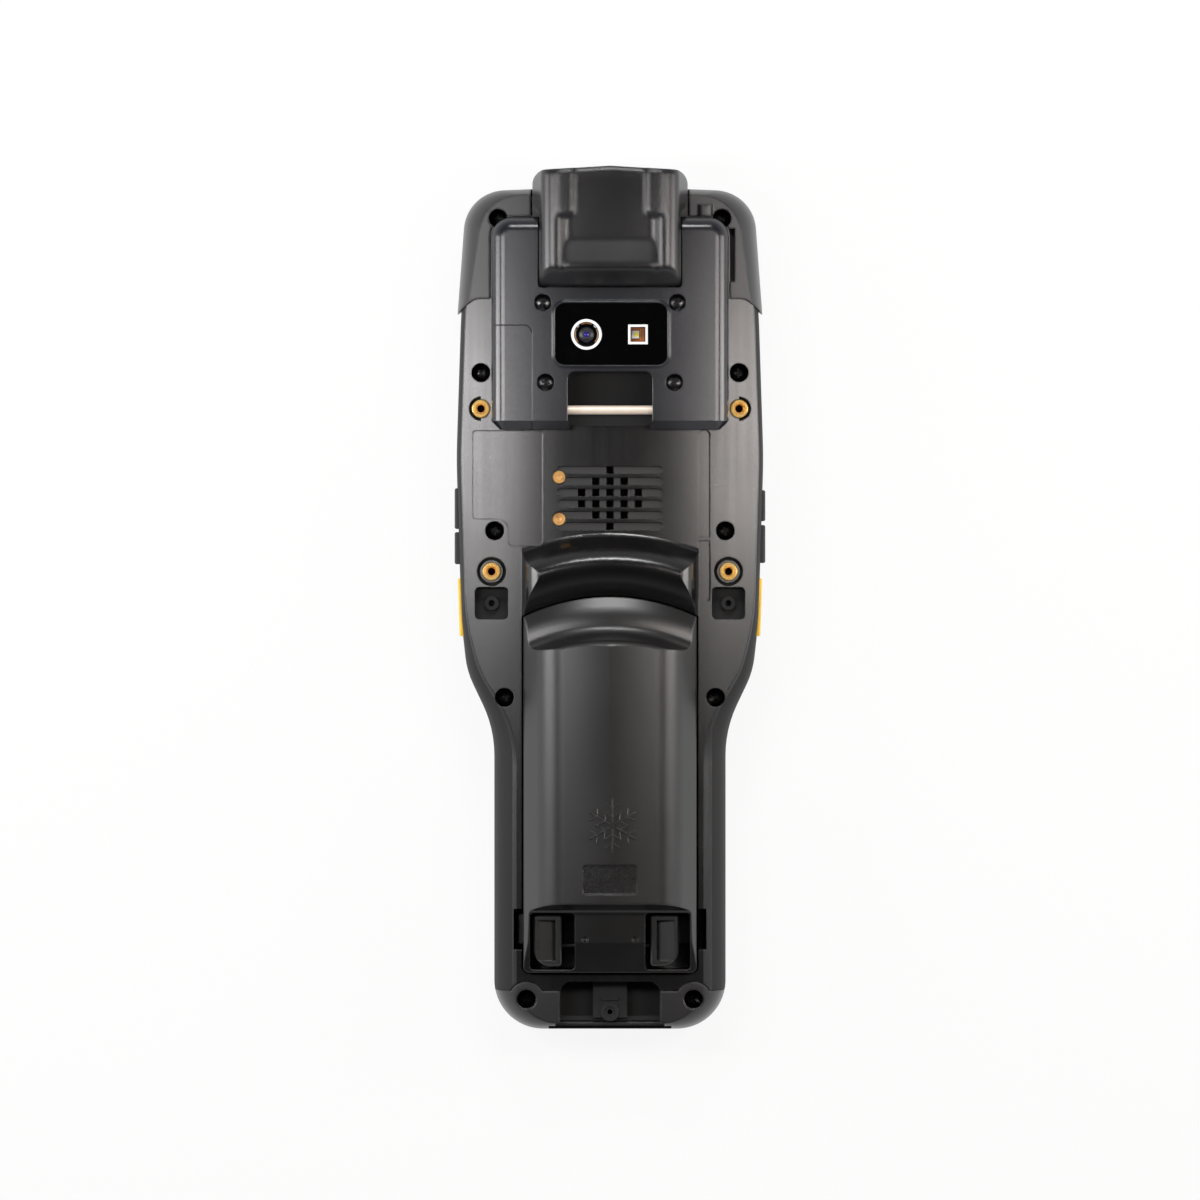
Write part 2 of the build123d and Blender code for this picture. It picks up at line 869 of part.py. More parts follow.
with BuildPart() as rear_housing:
    add(without_bumper_zones(rear_form(), rear_core))
    add(swell())
    # seats for the flanges of the two bumpers
    cut(boot_flange(flange_level - fit_gap), back_level)
    cut(tail_flange(flange_level - fit_gap, fit_gap), back_level)
    # space for the electronics in the head
    with BuildSketch(Plane.XY.offset(split_level)) as space:
        add(inset_outline(split_level, side_wall))
        with Locations((0, battery_top + battery_gap + well_end_wall)):
            Rectangle(2 * head_half, head_end, align=(Align.CENTER, Align.MIN), mode=Mode.INTERSECT)
    cut(space.sketch, cavity_level - split_level)
    for side in (-1, 1):
        cut(
            plate_outline(
                split_level,
                x_range(side, button_wall_x - button_room, button_wall_x),
                let_out((left_buttons[1][0], left_buttons[0][1]), button_room_ends),
            ),
            cavity_level - split_level,
        )
        cut(
            plate_outline(
                split_level,
                x_range(side, trigger_wall_x - button_room, trigger_wall_x),
                let_out(trigger_span, trigger_room_ends),
            ),
            cavity_level - split_level,
        )
    extrude(discs(split_level, screws, screw_boss_radius), amount=cavity_level - split_level)
    for side, ends in buttons.values():
        side_window(side, ends, button_wall_x)
    for side in triggers.values():
        side_window(side, trigger_span, trigger_wall_x)
    # holes for the housing screws
    cut(discs(split_level, screws, screw_pilot_radius), back_level)
    cut(discs(screw_seat_level, screws, screw_well_radius), back_level)
    # battery well, open notches beside it and the undercut strikes for the bolts
    cut(battery_outline(well_floor, battery_gap), back_level)
    for side in (-1, 1):
        notch_low = bolt_low - battery_gap
        notch_y = (strike_bottom_y, strike_top_y)
        cut(plate_outline(notch_low, x_range(side, battery_half, notch_outer), notch_y), back_level)
        cut(
            plate_outline(notch_low, x_range(side, battery_half, strike_outer), notch_y),
            bolt_height + 2 * battery_gap,
        )
    # recess under the strap pin
    cut(
        plate_outline(
            back_level - strap_recess_depth,
            (-notch_half, notch_half),
            (cover_bottom + 1, notch_top),
            notch_radius,
        ),
        back_level,
    )
    # brass inserts and the square pockets below them
    inserts = both_sides((upper_insert, lower_insert))
    recess_level = back_level - insert_recess_depth
    cut(discs(recess_level, both_sides((lower_insert,)), insert_recess_radius), insert_recess_depth + 1)
    with BuildSketch(Plane.XY.offset(recess_level)) as half_rings:
        with Locations(*both_sides((upper_insert,))):
            Circle(upper_recess_radius)
        Rectangle(2 * upper_insert[0], 2 * head_end, mode=Mode.SUBTRACT)
    cut(half_rings.sketch, insert_recess_depth + 1)
    extrude(
        discs(recess_level, both_sides((lower_insert,)), insert_radius + insert_wall),
        amount=insert_recess_depth - insert_collar_drop,
    )
    cut(discs(back_level - insert_depth, inserts, insert_radius), back_level)
    for x, y in both_sides((pocket_centre,)):
        cut(
            plate_outline(
                back_level - pocket_depth,
                span(x, pocket_width),
                span(y, pocket_length),
                pocket_corner_radius,
            ),
            back_level,
        )
    bosses = both_sides((pocket_centre,))
    extrude(discs(back_level - pocket_depth, bosses, pocket_boss_radius), amount=pocket_boss_height)
    boss_top = back_level - pocket_depth + pocket_boss_height
    cut(discs(boss_top - pocket_hole_depth, bosses, pocket_hole_radius), back_level)
    # label place and channel
    cut(label_outline(), label_depth + 1)
    channel = plate_outline(
        back_level - channel_depth, span(channel_x, channel_width), (channel_bottom, channel_top), 1.5
    )
    cut(channel, channel_depth + 1)
    extrude(
        plate_outline(
            back_level - channel_depth,
            span(channel_x, channel_width),
            span(channel_bar_y, channel_bar_width),
        ),
        amount=channel_depth - 0.3,
    )
    # speaker grille: shallow slots, and windows right through in the middle
    with BuildSketch(Plane.XY.offset(back_level - slot_depth)) as slots:
        for y in grille_rows():
            with Locations((0, y)):
                SlotOverall(slot_length, slot_width)
    cut(slots.sketch, slot_depth + 1)
    with BuildSketch(Plane.XY.offset(cavity_level - 1)) as windows:
        for y, count in zip(grille_rows(), grille_window_counts):
            with Locations((0, y)):
                with GridLocations(window_pitch, 1, count, 1):
                    Rectangle(window_width, slot_width)
    cut(windows.sketch, back_level)
    # contact discs
    contacts = [(contact_x, grille_centre_y + share * contact_pitch) for share in (-0.5, 0.5)]
    cut(discs(back_level - contact_depth, contacts, contact_radius), contact_depth + 1)
    # strap anchor in the tail
    cut(
        plate_outline(
            anchor_floor, (-anchor_half, anchor_half), (tail_end - 9, anchor_top), anchor_corner_radius
        ),
        back_level,
    )
    with BuildSketch(Plane.XY.offset(anchor_floor)) as lip:
        with Locations((0, tail_end + bumper_wall + anchor_lip_setback)):
            Rectangle(2 * anchor_half, anchor_lip, align=(Align.CENTER, Align.MIN))
    extrude(lip.sketch, amount=anchor_lip_level - anchor_floor)
    block_y = (anchor_boss_y - anchor_block_run, anchor_top)
    extrude(
        plate_outline(anchor_floor, (-anchor_block_half, anchor_block_half), block_y),
        amount=anchor_block_level - anchor_floor,
    )
    boss = [(0, anchor_boss_y)]
    anchor_boss_top = anchor_block_level + anchor_boss_proud
    extrude(discs(anchor_floor, boss, anchor_boss_radius), amount=anchor_boss_top - anchor_floor)
    cut(discs(anchor_boss_top - anchor_ring_depth, boss, anchor_ring_radius), back_level)
    extrude(
        plate_outline(anchor_block_level, span(0, anchor_bar[0]), span(anchor_bar_y, anchor_bar[1])),
        amount=anchor_bar_height,
    )
    cut(discs(anchor_boss_top - anchor_hole_depth, boss, anchor_hole_radius), back_level)
    # cover screws bite into the back
    cut(discs(back_level - cover_screw_bite - 0.5, both_sides(cover_screws), screw_pilot_radius), back_level)
export(rear_housing.part, "rear_housing")

# ------------------------------------------------------------------ bumpers and seal


def core_room(flange):
    """Space that the slimmer housing core and a bumper's own flange leave no rubber in."""
    with BuildPart() as room:
        add(rear_form(bumper_wall - fit_gap))
        extrude(inset_outline(0, bumper_wall - fit_gap), amount=split_level)
        cut(flange, back_level)
    return room.part


boot_rise = back_level + bumper_proud - split_level
boot_sections = ((0.0, 0.0, 0.0), (0.4, 0.2, 0.4), (0.75, 0.9, 1.8), (1.0, 2.4, 4.8))
dock_opening = plate_outline(
    dock_low - dock_gap,
    (-dock_half - dock_gap, dock_half + dock_gap),
    (tail_end - 1, tail_end + dock_depth + dock_gap),
)

with BuildPart() as top_bumper:
    loft(
        sections=[
            boot_outline(split_level + boot_rise * share, lip, corner)
            for share, lip, corner in boot_sections
        ]
    )
    extrude(boot_outline(0), amount=split_level)
    table_edges = top_bumper.faces().sort_by(Axis.Z)[0].edges()
    skirt_y = bumper_lip_y - boot_skirt
    fillet(table_edges.filter_by(lambda edge: edge.center().Y > skirt_y + 1), face_edge_radius)
    add(core_room(boot_flange(flange_level)), mode=Mode.SUBTRACT)
    cut(cover_outline(flange_level - 1, cover_gap), back_level)
    cut(
        plate_outline(
            hood_foot_level - cover_gap,
            (-hood_half - cover_gap, hood_half + cover_gap),
            (bumper_lip_y - 1, hood_front + 1),
        ),
        back_level,
    )
    extrude(boot_zone(-1), amount=2 * back_level, mode=Mode.INTERSECT)
    # wider gap beside the camera cover and the half-round ridge beside the hood
    side_gap_x = (cover_half + cover_gap - 1, cover_half + cover_gap + side_gap_width)
    cut(plate_outline(flange_level - 1, side_gap_x, side_gap), back_level)
    with BuildSketch(Plane.XZ.offset(-cover_top - cover_gap)):
        with Locations((ridge_x, back_level + bumper_proud)):
            Circle(ridge_radius)
    extrude(amount=-ridge_length)
    cut(discs(screw_seat_level, both_sides(screw_places[:1]), screw_well_radius), back_level)
export(top_bumper.part, "top_bumper")

with BuildPart() as bottom_bumper:
    add(rear_form())
    add(front_form())
    extrude(tail_flange(-1, -fit_gap), amount=2 * back_level, mode=Mode.INTERSECT)
    add(core_room(tail_flange(flange_level)), mode=Mode.SUBTRACT)
    cut(
        plate_outline(-1, side_span, (tail_seam_y - fit_gap, 0)),
        flange_level + 1,
    )
    lip_y = tail_end + bumper_wall
    cut(
        plate_outline(anchor_lip_level, (-anchor_half - 1.2, anchor_half + 1.2), (tail_end - 1, lip_y)),
        back_level,
    )
    cut(
        plate_outline(anchor_lip_level, (-anchor_half - fit_gap, anchor_half + fit_gap), (lip_y - 1, 0)),
        back_level,
    )
    cut(dock_opening, dock_high - dock_low + 2 * dock_gap)
    cut(
        plate_outline(
            split_level, (-tail_recess_half, tail_recess_half), (tail_end - 1, tail_end + tail_recess_depth)
        ),
        back_level,
    )
    cut(discs(screw_seat_level, both_sides(screw_places[-1:]), screw_well_radius), back_level)
export(bottom_bumper.part, "bottom_bumper")

with BuildPart() as housing_seal:
    extrude(
        ring(split_level - seal_depth, seal_inset + fit_gap / 2, seal_width - fit_gap),
        amount=seal_depth,
    )
export(housing_seal.part, "housing_seal")

# ------------------------------------------------------------------ camera cover

cover_level = back_level + cover_height
window_seat = cover_level - window_sink - window_thickness


def cover_blank():
    """Camera cover and side access cover in one piece, with the rounded shoulders."""
    with BuildPart() as blank:
        extrude(cover_outline(back_level), amount=cover_height)
        top = blank.faces().sort_by(Axis.Z)[-1].edges()
        shoulders = top.filter_by(
            lambda e: abs(e.center().X) > cover_gap_half + 1 and e.center().Y > cover_bottom + 0.5
        )
        fillet(shoulders, cover_edge_radius)
        rim = blank.faces().sort_by(Axis.Z)[-1].edges().filter_by(Axis.X)
        chamfer(rim.filter_by(lambda e: e.center().Y < cover_bottom + 0.1), cover_foot_slope)
    return blank.part


def access_corner(level, grow=0.0):
    """The corner of the camera cover that the side access cover takes up."""
    return plate_outline(
        level,
        (-cover_half - 9, access_right + grow),
        (cover_bottom - 9, access_top + grow),
        access_radius,
    )


cover_blank_part = cover_blank()
cover_screw_seat = cover_level - cover_screw_sink - screw_head_height
cover_screw_places = both_sides(cover_screws)
window_x = span(window_centre[0], window_size[0])
window_y = span(window_centre[1], window_size[1])
pin_length = 2 * notch_half + 2 * pin_bite

with BuildPart() as camera_cover:
    add(cover_blank_part)
    cut(access_corner(back_level, fit_gap), cover_height)
    # raised rim and seat of the camera window
    rim_outline = plate_outline(
        cover_level, let_out(window_x, window_rim), let_out(window_y, window_rim), window_radius + window_rim
    )
    extrude(rim_outline, amount=window_rim / 2)
    chamfer(camera_cover.faces().sort_by(Axis.Z)[-1].edges(), window_rim / 2 - 0.05)
    cut(
        plate_outline(window_seat, let_out(window_x, fit_gap), let_out(window_y, fit_gap), window_radius),
        cover_height,
    )
    # bores for the camera and the flash
    cut(discs(window_seat - camera_depth, [camera_place], camera_bore_radius + fit_gap), camera_depth)
    cut(
        plate_outline(
            window_seat - flash_depth,
            span(flash_place[0], 2 * flash_half),
            span(flash_place[1], 2 * flash_half),
        ),
        flash_depth,
    )
    # screws and strap pin
    cut(discs(back_level, cover_screw_places, screw_pilot_radius + fit_gap), cover_height)
    cut(
        discs(cover_screw_seat, cover_screw_places, cover_screw_radius + slide_gap),
        cover_height,
    )
    with BuildSketch(Plane.YZ.offset(-pin_length / 2 - fit_gap)) as pin_bore:
        with Locations((pin_y, pin_level)):
            Circle(pin_radius + fit_gap / 2)
    extrude(amount=pin_length + 2 * fit_gap, mode=Mode.SUBTRACT)
export(camera_cover.part, "camera_cover")

with BuildPart() as side_access_cover:
    add(cover_blank_part)
    extrude(access_corner(back_level), amount=cover_height, mode=Mode.INTERSECT)
    cut(
        plate_outline(
            back_level,
            (cover_edge_radius - cover_half, access_right - access_radius),
            (cover_bottom + cover_edge_radius, access_top - access_radius),
            1.0,
        ),
        cover_height - access_radius,
    )
export(side_access_cover.part, "side_access_cover")

with BuildPart() as strap_pin:
    with BuildSketch(Plane.YZ.offset(-pin_length / 2)):
        with Locations((pin_y, pin_level)):
            Circle(pin_radius)
    extrude(amount=pin_length)
    chamfer(strap_pin.edges(), 0.2)
export(strap_pin.part, "strap_pin")


def pan_head_screws(places, head_level, head_radius, head_height, tip_level):
    """Equal screws, heads up, each a separate solid."""
    with BuildPart() as group:
        extrude(discs(tip_level, places, screw_shank_radius), amount=head_level - tip_level)
        extrude(discs(head_level, places, head_radius), amount=head_height)
    return group.part


export(
    pan_head_screws(
        cover_screw_places,
        cover_screw_seat,
        cover_screw_radius,
        screw_head_height,
        back_level - cover_screw_bite,
    ),
    "cover_screws",
)
export(
    pan_head_screws(
        screws,
        screw_seat_level,
        screw_head_radius,
        screw_head_height,
        screw_tip_level,
    ),
    "housing_screws",
)

with BuildPart() as strap_inserts:
    extrude(
        discs(back_level - insert_depth, inserts, insert_radius - fit_gap / 2),
        amount=insert_depth + insert_proud,
    )
    cut(discs(back_level - insert_depth, inserts, insert_bore_radius), back_level)
export(strap_inserts.part, "strap_inserts")

with BuildPart() as grip_contacts:
    extrude(discs(back_level - contact_depth, contacts, contact_radius - fit_gap / 2), amount=contact_depth)
    cut(discs(back_level - contact_dimple, contacts, contact_radius / 3), back_level)
export(grip_contacts.part, "grip_contacts")

# ------------------------------------------------------------------ camera

with BuildPart() as camera_window:
    extrude(plate_outline(window_seat, window_x, window_y, window_radius), amount=window_thickness)
    cut(discs(window_seat, [camera_place], camera_bore_radius), cover_height)
    cut(
        plate_outline(
            window_seat,
            span(flash_place[0], 2 * flash_half),
            span(flash_place[1], 2 * flash_half),
        ),
        cover_height,
    )
export(camera_window.part, "camera_window")

window_top = window_seat + window_thickness
flash_frame_half = flash_half + flash_frame_width
with BuildPart() as window_rings:
    with BuildSketch(Plane.XY.offset(window_top)):
        with Locations(camera_place):
            Circle(camera_radius)
            Circle(camera_bore_radius, mode=Mode.SUBTRACT)
        with Locations(flash_place):
            Rectangle(2 * flash_frame_half, 2 * flash_frame_half)
            Rectangle(2 * flash_half, 2 * flash_half, mode=Mode.SUBTRACT)
    extrude(amount=ring_proud)
export(window_rings.part, "window_rings")

camera_floor = window_seat - camera_depth
camera_x = camera_place[0]
camera_axis = Axis((camera_x, camera_place[1], 0), (0, 0, 1))
lens_seat = window_seat - lens_seat_depth
bore_right = camera_x + camera_bore_radius
lens_room = camera_x + lens_radius + lens_gap
with BuildPart() as camera_module:
    with BuildSketch(Plane.XZ.offset(-camera_place[1])):
        with BuildLine():
            Polyline(
                (camera_x, camera_floor),
                (bore_right, camera_floor),
                (bore_right, window_seat - module_sink),
                (bore_right - module_rim, window_seat - module_sink),
                (lens_room, window_seat - funnel_depth),
                (lens_room, lens_seat),
                (camera_x, lens_seat),
                close=True,
            )
        make_face()
    revolve(axis=camera_axis)
export(camera_module.part, "camera_module")

with BuildPart() as camera_lens:
    with BuildSketch(Plane.XZ.offset(-camera_place[1])):
        with BuildLine():
            dome = ThreePointArc(
                (camera_x, lens_seat + lens_height),
                (camera_x + lens_radius * 0.55, lens_seat + 0.83 * lens_height),
                (camera_x + lens_radius, lens_seat + lens_edge),
            )
            Polyline(dome @ 1, (camera_x + lens_radius, lens_seat), (camera_x, lens_seat), dome @ 0)
        make_face()
    revolve(axis=camera_axis)
export(camera_lens.part, "camera_lens")

flash_floor = window_seat - flash_depth
flash_inner = 2 * flash_half - 2 * fit_gap
with BuildPart() as flash_board:
    extrude(
        plate_outline(flash_floor, span(flash_place[0], flash_inner), span(flash_place[1], flash_inner)),
        amount=flash_board_thickness,
    )
export(flash_board.part, "flash_board")

with BuildPart() as flash_led:
    extrude(
        plate_outline(
            flash_floor + flash_board_thickness,
            span(flash_place[0] - flash_half / 3, flash_half),
            span(flash_place[1], flash_half),
        ),
        amount=led_height,
    )
export(flash_led.part, "flash_led")

# ------------------------------------------------------------------ scanner hood

hood_back_y = head_end - bumper_wall + cover_gap / 2


def hood_section():
    """Cross-section of the hood: two rounded lobes with a shallow dish between them."""
    with BuildSketch(Plane.XZ.offset(-hood_rear + 1)) as section:
        with BuildLine():
            FilletPolyline(
                (0, hood_foot_level - 1),
                (hood_half, hood_foot_level - 1),
                (hood_half, back_level + 4),
                (hood_half - hood_lobe_lean, hood_level),
                (hood_dish_half + 1.2, hood_level),
                (hood_dish_half - 0.6, hood_level - hood_dish),
                (0, hood_level - hood_dish),
                radius=(0, hood_side_radius, hood_lobe_radius, hood_dish_radius, hood_dish_radius),
            )
            mirror(about=Plane.YZ)
        make_face()
    return section.sketch


def hood_profile():
    """Side view of the hood: the rear facet, the top and the rounded front edge."""
    with BuildSketch(Plane.YZ.offset(-hood_half - 1)) as profile:
        with BuildLine():
            FilletPolyline(
                (hood_rear - 1, back_level),
                (hood_rear - 1, hood_facet_level - 1.2),
                (hood_facet_y, hood_level + 0.6),
                (hood_front + 0.4, hood_level + 0.6),
                (hood_front + 0.4, hood_foot_level),
                (hood_back_y, hood_foot_level),
                (hood_back_y, back_level),
                radius=(2.0, 3.0, 2.4, 1.5, 0),
            )
            Line((hood_back_y, back_level), (hood_rear - 1, back_level))
        make_face()
    return profile.sketch


def dish_end():
    """Side view of the filling that lets the dish fade out towards the rear facet."""
    with BuildSketch(Plane.YZ.offset(-hood_dish_half)) as filling:
        with BuildLine():
            Polyline(
                (hood_rear - 1, back_level),
                (hood_rear - 1, hood_level - 0.05),
                (hood_facet_y + dish_fade[0], hood_level - 0.05),
                (hood_facet_y + dish_fade[1], hood_level - hood_dish),
                (hood_facet_y + dish_fade[1], back_level),
                close=True,
            )
        make_face()
    return filling.sketch


def hood_pad(side):
    """Raised pad on one lobe, which runs over the front edge."""
    pad_range = span(side * pad_x, pad_width)
    with BuildPart() as pad:
        extrude(
            plate_outline(hood_level - 2, pad_range, (pad_rear, hood_front + 9), pad_corner_radius),
            amount=2 + pad_proud - pad_edge,
        )
        extrude(
            plate_outline(back_level, pad_range, (hood_front - 3, hood_front - pad_front_sink)),
            amount=hood_level - back_level - 3,
        )
        extrude(hood_plan(back_level), amount=hood_level, mode=Mode.INTERSECT)
        chamfer(pad.faces().sort_by(Axis.Z)[-1].edges(), pad_edge)
    return pad.part


scan_middle = (scan_window_low + scan_window_high) / 2
scan_height = scan_window_high - scan_window_low
window_back_y = hood_front - scan_window_sink - scan_window_thickness
engine_height = scan_height - 2 * engine_room_rim

with BuildPart() as scanner_hood:
    extrude(hood_section(), amount=-(hood_front - hood_rear + 2))
    extrude(dish_end(), amount=2 * hood_dish_half)
    extrude(hood_plan(hood_foot_level - 1), amount=hood_level, mode=Mode.INTERSECT)
    extrude(hood_profile(), amount=2 * hood_half + 2, mode=Mode.INTERSECT)
    add(hood_pad(-1))
    add(hood_pad(1))
    # room for the scan engine behind its window
    front_cut = Plane.XZ.offset(-hood_front - 1)
    with BuildSketch(front_cut):
        with Locations((0, scan_middle)):
            RectangleRounded(2 * (scan_window_half + fit_gap), scan_height + 2 * fit_gap, 2.0)
    extrude(amount=1 + hood_front - window_back_y, mode=Mode.SUBTRACT)
    with BuildSketch(front_cut):
        with Locations((0, scan_middle)):
            Rectangle(2 * engine_room_half, engine_height)
    extrude(
        amount=1 + hood_front - window_back_y + engine_setback + engine_length + fit_gap,
        mode=Mode.SUBTRACT,
    )
export(scanner_hood.part, "scanner_hood")

with BuildPart() as scan_window:
    with BuildSketch(Plane.XZ.offset(-window_back_y - scan_window_thickness)) as pane:
        with Locations((0, scan_middle)):
            RectangleRounded(2 * scan_window_half, scan_height, 1.9)
    extrude(amount=scan_window_thickness)
export(scan_window.part, "scan_window")

engine_face_y = window_back_y - engine_setback
with BuildPart() as scan_engine:
    with BuildSketch(Plane.XZ.offset(-engine_face_y)):
        with Locations((0, scan_middle)):
            Rectangle(2 * engine_half, engine_height - 2 * fit_gap)
    extrude(amount=engine_length)
    with BuildSketch(Plane.XZ.offset(-engine_face_y)):
        with Locations((-engine_half / 2, scan_middle), (engine_half / 2, scan_middle)):
            Circle(engine_height / 4)
    extrude(amount=-engine_setback / 2)
export(scan_engine.part, "scan_engine")

# ------------------------------------------------------------------ battery pack

case_low = battery_floor_level + battery_base_thickness
cell_ends_y = (cell_low_y - cell_gap, cell_low_y + cell_length + cell_gap)


def finger_groove():
    """What the finger groove takes off the barrel's end, turned about the centre of its wide arc."""
    centre_y = cell_ends_y[1] + cell_end_wall - barrel_end_arc
    near = barrel_end_arc - barrel_end_run
    far = battery_top + 1 - centre_y
    with BuildPart() as groove:
        with BuildSketch(radial_plane(groove_half_angle, centre_y)) as hollow:
            with BuildLine():
                slope = FilletPolyline(
                    (near, battery_level + barrel_end_drop),
                    (barrel_end_arc, battery_level),
                    (barrel_end_arc + groove_run, groove_level),
                    (shelf_y - centre_y, shelf_level),
                    (far, arch_edge_level),
                    radius=(2.6, 3.2, 12.0),
                )
                Polyline(slope @ 1, (far, battery_level + 9), (near, battery_level + 9), slope @ 0)
            make_face()
        revolve(axis=Axis((0, centre_y, 0), (0, 0, 1)), revolution_arc=2 * groove_half_angle)
    return groove.part


def toe_profile():
    """What the step above the latches takes off the barrel, seen from the side."""
    step_y = cell_ends_y[0] + step_over_cells
    with BuildSketch(Plane.YZ.offset(-battery_half - 1)) as profile:
        with BuildLine():
            FilletPolyline(
                (step_y, battery_level + 4),
                (step_y, battery_level),
                (step_y - step_run, step_level),
                (toe_bend_y, toe_bend_level),
                (battery_bottom - 1, toe_level),
                (battery_bottom - 1, battery_level + 4),
                radius=(0, 1.6, 2.0, 0),
                close=False,
            )
            Line((battery_bottom - 1, battery_level + 4), (step_y, battery_level + 4))
        make_face()
    return profile.sketch


latch_pocket_y = (latch_pocket_bottom, latch_pocket_top)
cell_centres = [(side * (cell_radius + cell_gap / 2), case_low + cell_radius) for side in (-1, 1)]

with BuildPart() as battery_case:
    extrude(barrel_outline(battery_bottom, low=case_low), amount=-(battery_top - battery_bottom))
    extrude(battery_outline(case_low), amount=battery_level, mode=Mode.INTERSECT)
    add(finger_groove(), mode=Mode.SUBTRACT)
    cut(toe_profile(), 2 * battery_half + 2)
    # room for the cells, open towards the base
    cell_half = 2 * cell_radius + cell_gap
    cut(
        plate_outline(case_low, (-cell_half - cell_gap, cell_half + cell_gap), cell_ends_y),
        cell_radius,
    )
    with BuildSketch(Plane.XZ.offset(-cell_ends_y[0])) as cell_rooms:
        with Locations(*cell_centres):
            Circle(cell_radius + cell_gap)
    extrude(amount=-(cell_ends_y[1] - cell_ends_y[0]), mode=Mode.SUBTRACT)
    # latch pockets, slots for the bolts and bores for the guide rods
    for side in (-1, 1):
        cut(
            plate_outline(
                latch_pocket_floor, x_range(side, latch_pocket_inner, latch_pocket_outer), latch_pocket_y, 1.0
            ),
            back_level,
        )
        cut(
            plate_outline(
                bolt_low - latch_half_gap,
                x_range(side, latch_pocket_outer - 3, battery_half + 1),
                (bolt_bottom_y - latch_half_gap, bolt_top_y + latch_half_gap),
            ),
            bolt_height + 2 * latch_half_gap,
        )
    for side in (-1, 1):
        near, far = x_range(side, latch_pocket_inner - rod_reach - rod_end_room, latch_pocket_inner + 1)
        with BuildSketch(Plane.YZ.offset(near)) as rod_bore:
            with Locations((rod_y, rod_level)):
                Circle(rod_radius + latch_half_gap)
        extrude(amount=far - near, mode=Mode.SUBTRACT)
    # small dimples in the toe and the textured place on the barrel
    cut(discs(dimple_level, both_sides((dimple_place,)), dimple_radius), back_level)
    cut(
        plate_outline(battery_level - texture_depth, texture_x, texture_y, texture_corner_radius),
        back_level,
    )
export(battery_case.part, "battery_case")

with BuildPart() as battery_base:
    extrude(battery_outline(battery_floor_level), amount=battery_base_thickness)
    chamfer(battery_base.faces().sort_by(Axis.Z)[0].edges(), 0.5)
    pads = [((index - (blade_count - 1) / 2) * blade_pitch, blade_y) for index in range(blade_count)]
    with BuildSketch(Plane.XY.offset(battery_floor_level)) as pad_seats:
        with Locations(*pads):
            Rectangle(blade_width + 2 * pad_seat_grow, blade_length + 2 * pad_seat_grow)
    cut(pad_seats.sketch, pad_seat_depth)
export(battery_base.part, "battery_base")

with BuildPart() as battery_pads:
    with BuildSketch(Plane.XY.offset(battery_floor_level + fit_gap)) as pad_faces:
        with Locations(*pads):
            Rectangle(
                blade_width + 2 * (pad_seat_grow - fit_gap), blade_length + 2 * (pad_seat_grow - fit_gap)
            )
    extrude(amount=pad_seat_depth - fit_gap)
export(battery_pads.part, "battery_pads")

with BuildPart() as battery_cells:
    with BuildSketch(Plane.XZ.offset(-cell_low_y)) as cell_ends:
        with Locations(*cell_centres):
            Circle(cell_radius)
    extrude(amount=-cell_length)
export(battery_cells.part, "battery_cells")


def latch(side, shift):
    """Sliding latch: thumb pad, bolt towards the side wall and guide rod towards the middle."""
    outer = latch_pocket_outer - latch_rest_gap - shift
    with BuildPart() as slider:
        with BuildSketch(Plane.XY.offset(latch_pocket_floor + latch_half_gap)) as pad:
            with BuildLine():
                FilletPolyline(
                    (outer, latch_top),
                    (outer - latch_width, latch_top),
                    (outer - latch_width, latch_bottom),
                    (outer, latch_bottom),
                    radius=(0.8, 0.8, 0.8, latch_corner_radius),
                    close=True,
                )
            make_face()
        extrude(amount=latch_level - latch_pocket_floor - latch_half_gap)
        chamfer(slider.faces().sort_by(Axis.Z)[-1].edges(), 0.4)
        # thumb recess, deepest against the inner rim
        thumb_x = (outer - thumb_rim[0], outer - latch_width + thumb_rim[1])
        with BuildSketch(Plane.XZ.offset(-latch_bottom - thumb_ends)) as thumb:
            with BuildLine():
                Polyline(
                    (thumb_x[1], latch_level + 1),
                    (thumb_x[1], latch_level - thumb_depths[1]),
                    (thumb_x[0], latch_level - thumb_depths[0]),
                    (thumb_x[0], latch_level + 1),
                    close=True,
                )
            make_face()
        extrude(amount=-(latch_top - latch_bottom - 2 * thumb_ends), mode=Mode.SUBTRACT)
        extrude(
            plate_outline(bolt_low, (outer - 1, outer + bolt_reach), (bolt_bottom_y, bolt_top_y)),
            amount=bolt_height,
        )
        chamfer(slider.faces().sort_by(Axis.X)[-1].edges().filter_by(Axis.Y), 0.8)
        with BuildSketch(Plane.YZ.offset(outer - latch_width - rod_reach + latch_half_gap)) as rod:
            with Locations((rod_y, rod_level)):
                Circle(rod_radius)
        extrude(amount=rod_reach)
        if side < 0:
            mirror(about=Plane.YZ, mode=Mode.REPLACE)
    return slider.part


latch_left = latch(-1, 0)
latch_right = latch(1, right_latch_shift)
export(latch_left, "latch_left")
export(latch_right, "latch_right")

# ------------------------------------------------------------------ inside the housings

with BuildPart() as display_glass:
    extrude(plate_outline(rim_depth + glass_sink, glass_x, glass_y, glass_radius), amount=glass_thickness)
    chamfer(display_glass.faces().sort_by(Axis.Z)[0].edges(), 0.2)
export(display_glass.part, "display_glass")

panel_x = let_out(glass_x, -panel_border - fit_gap)
panel_y = let_out(glass_y, -panel_border - fit_gap)
with BuildPart() as display_panel:
    extrude(plate_outline(glass_seat, panel_x, panel_y, 0.8), amount=panel_thickness)
export(display_panel.part, "display_panel")

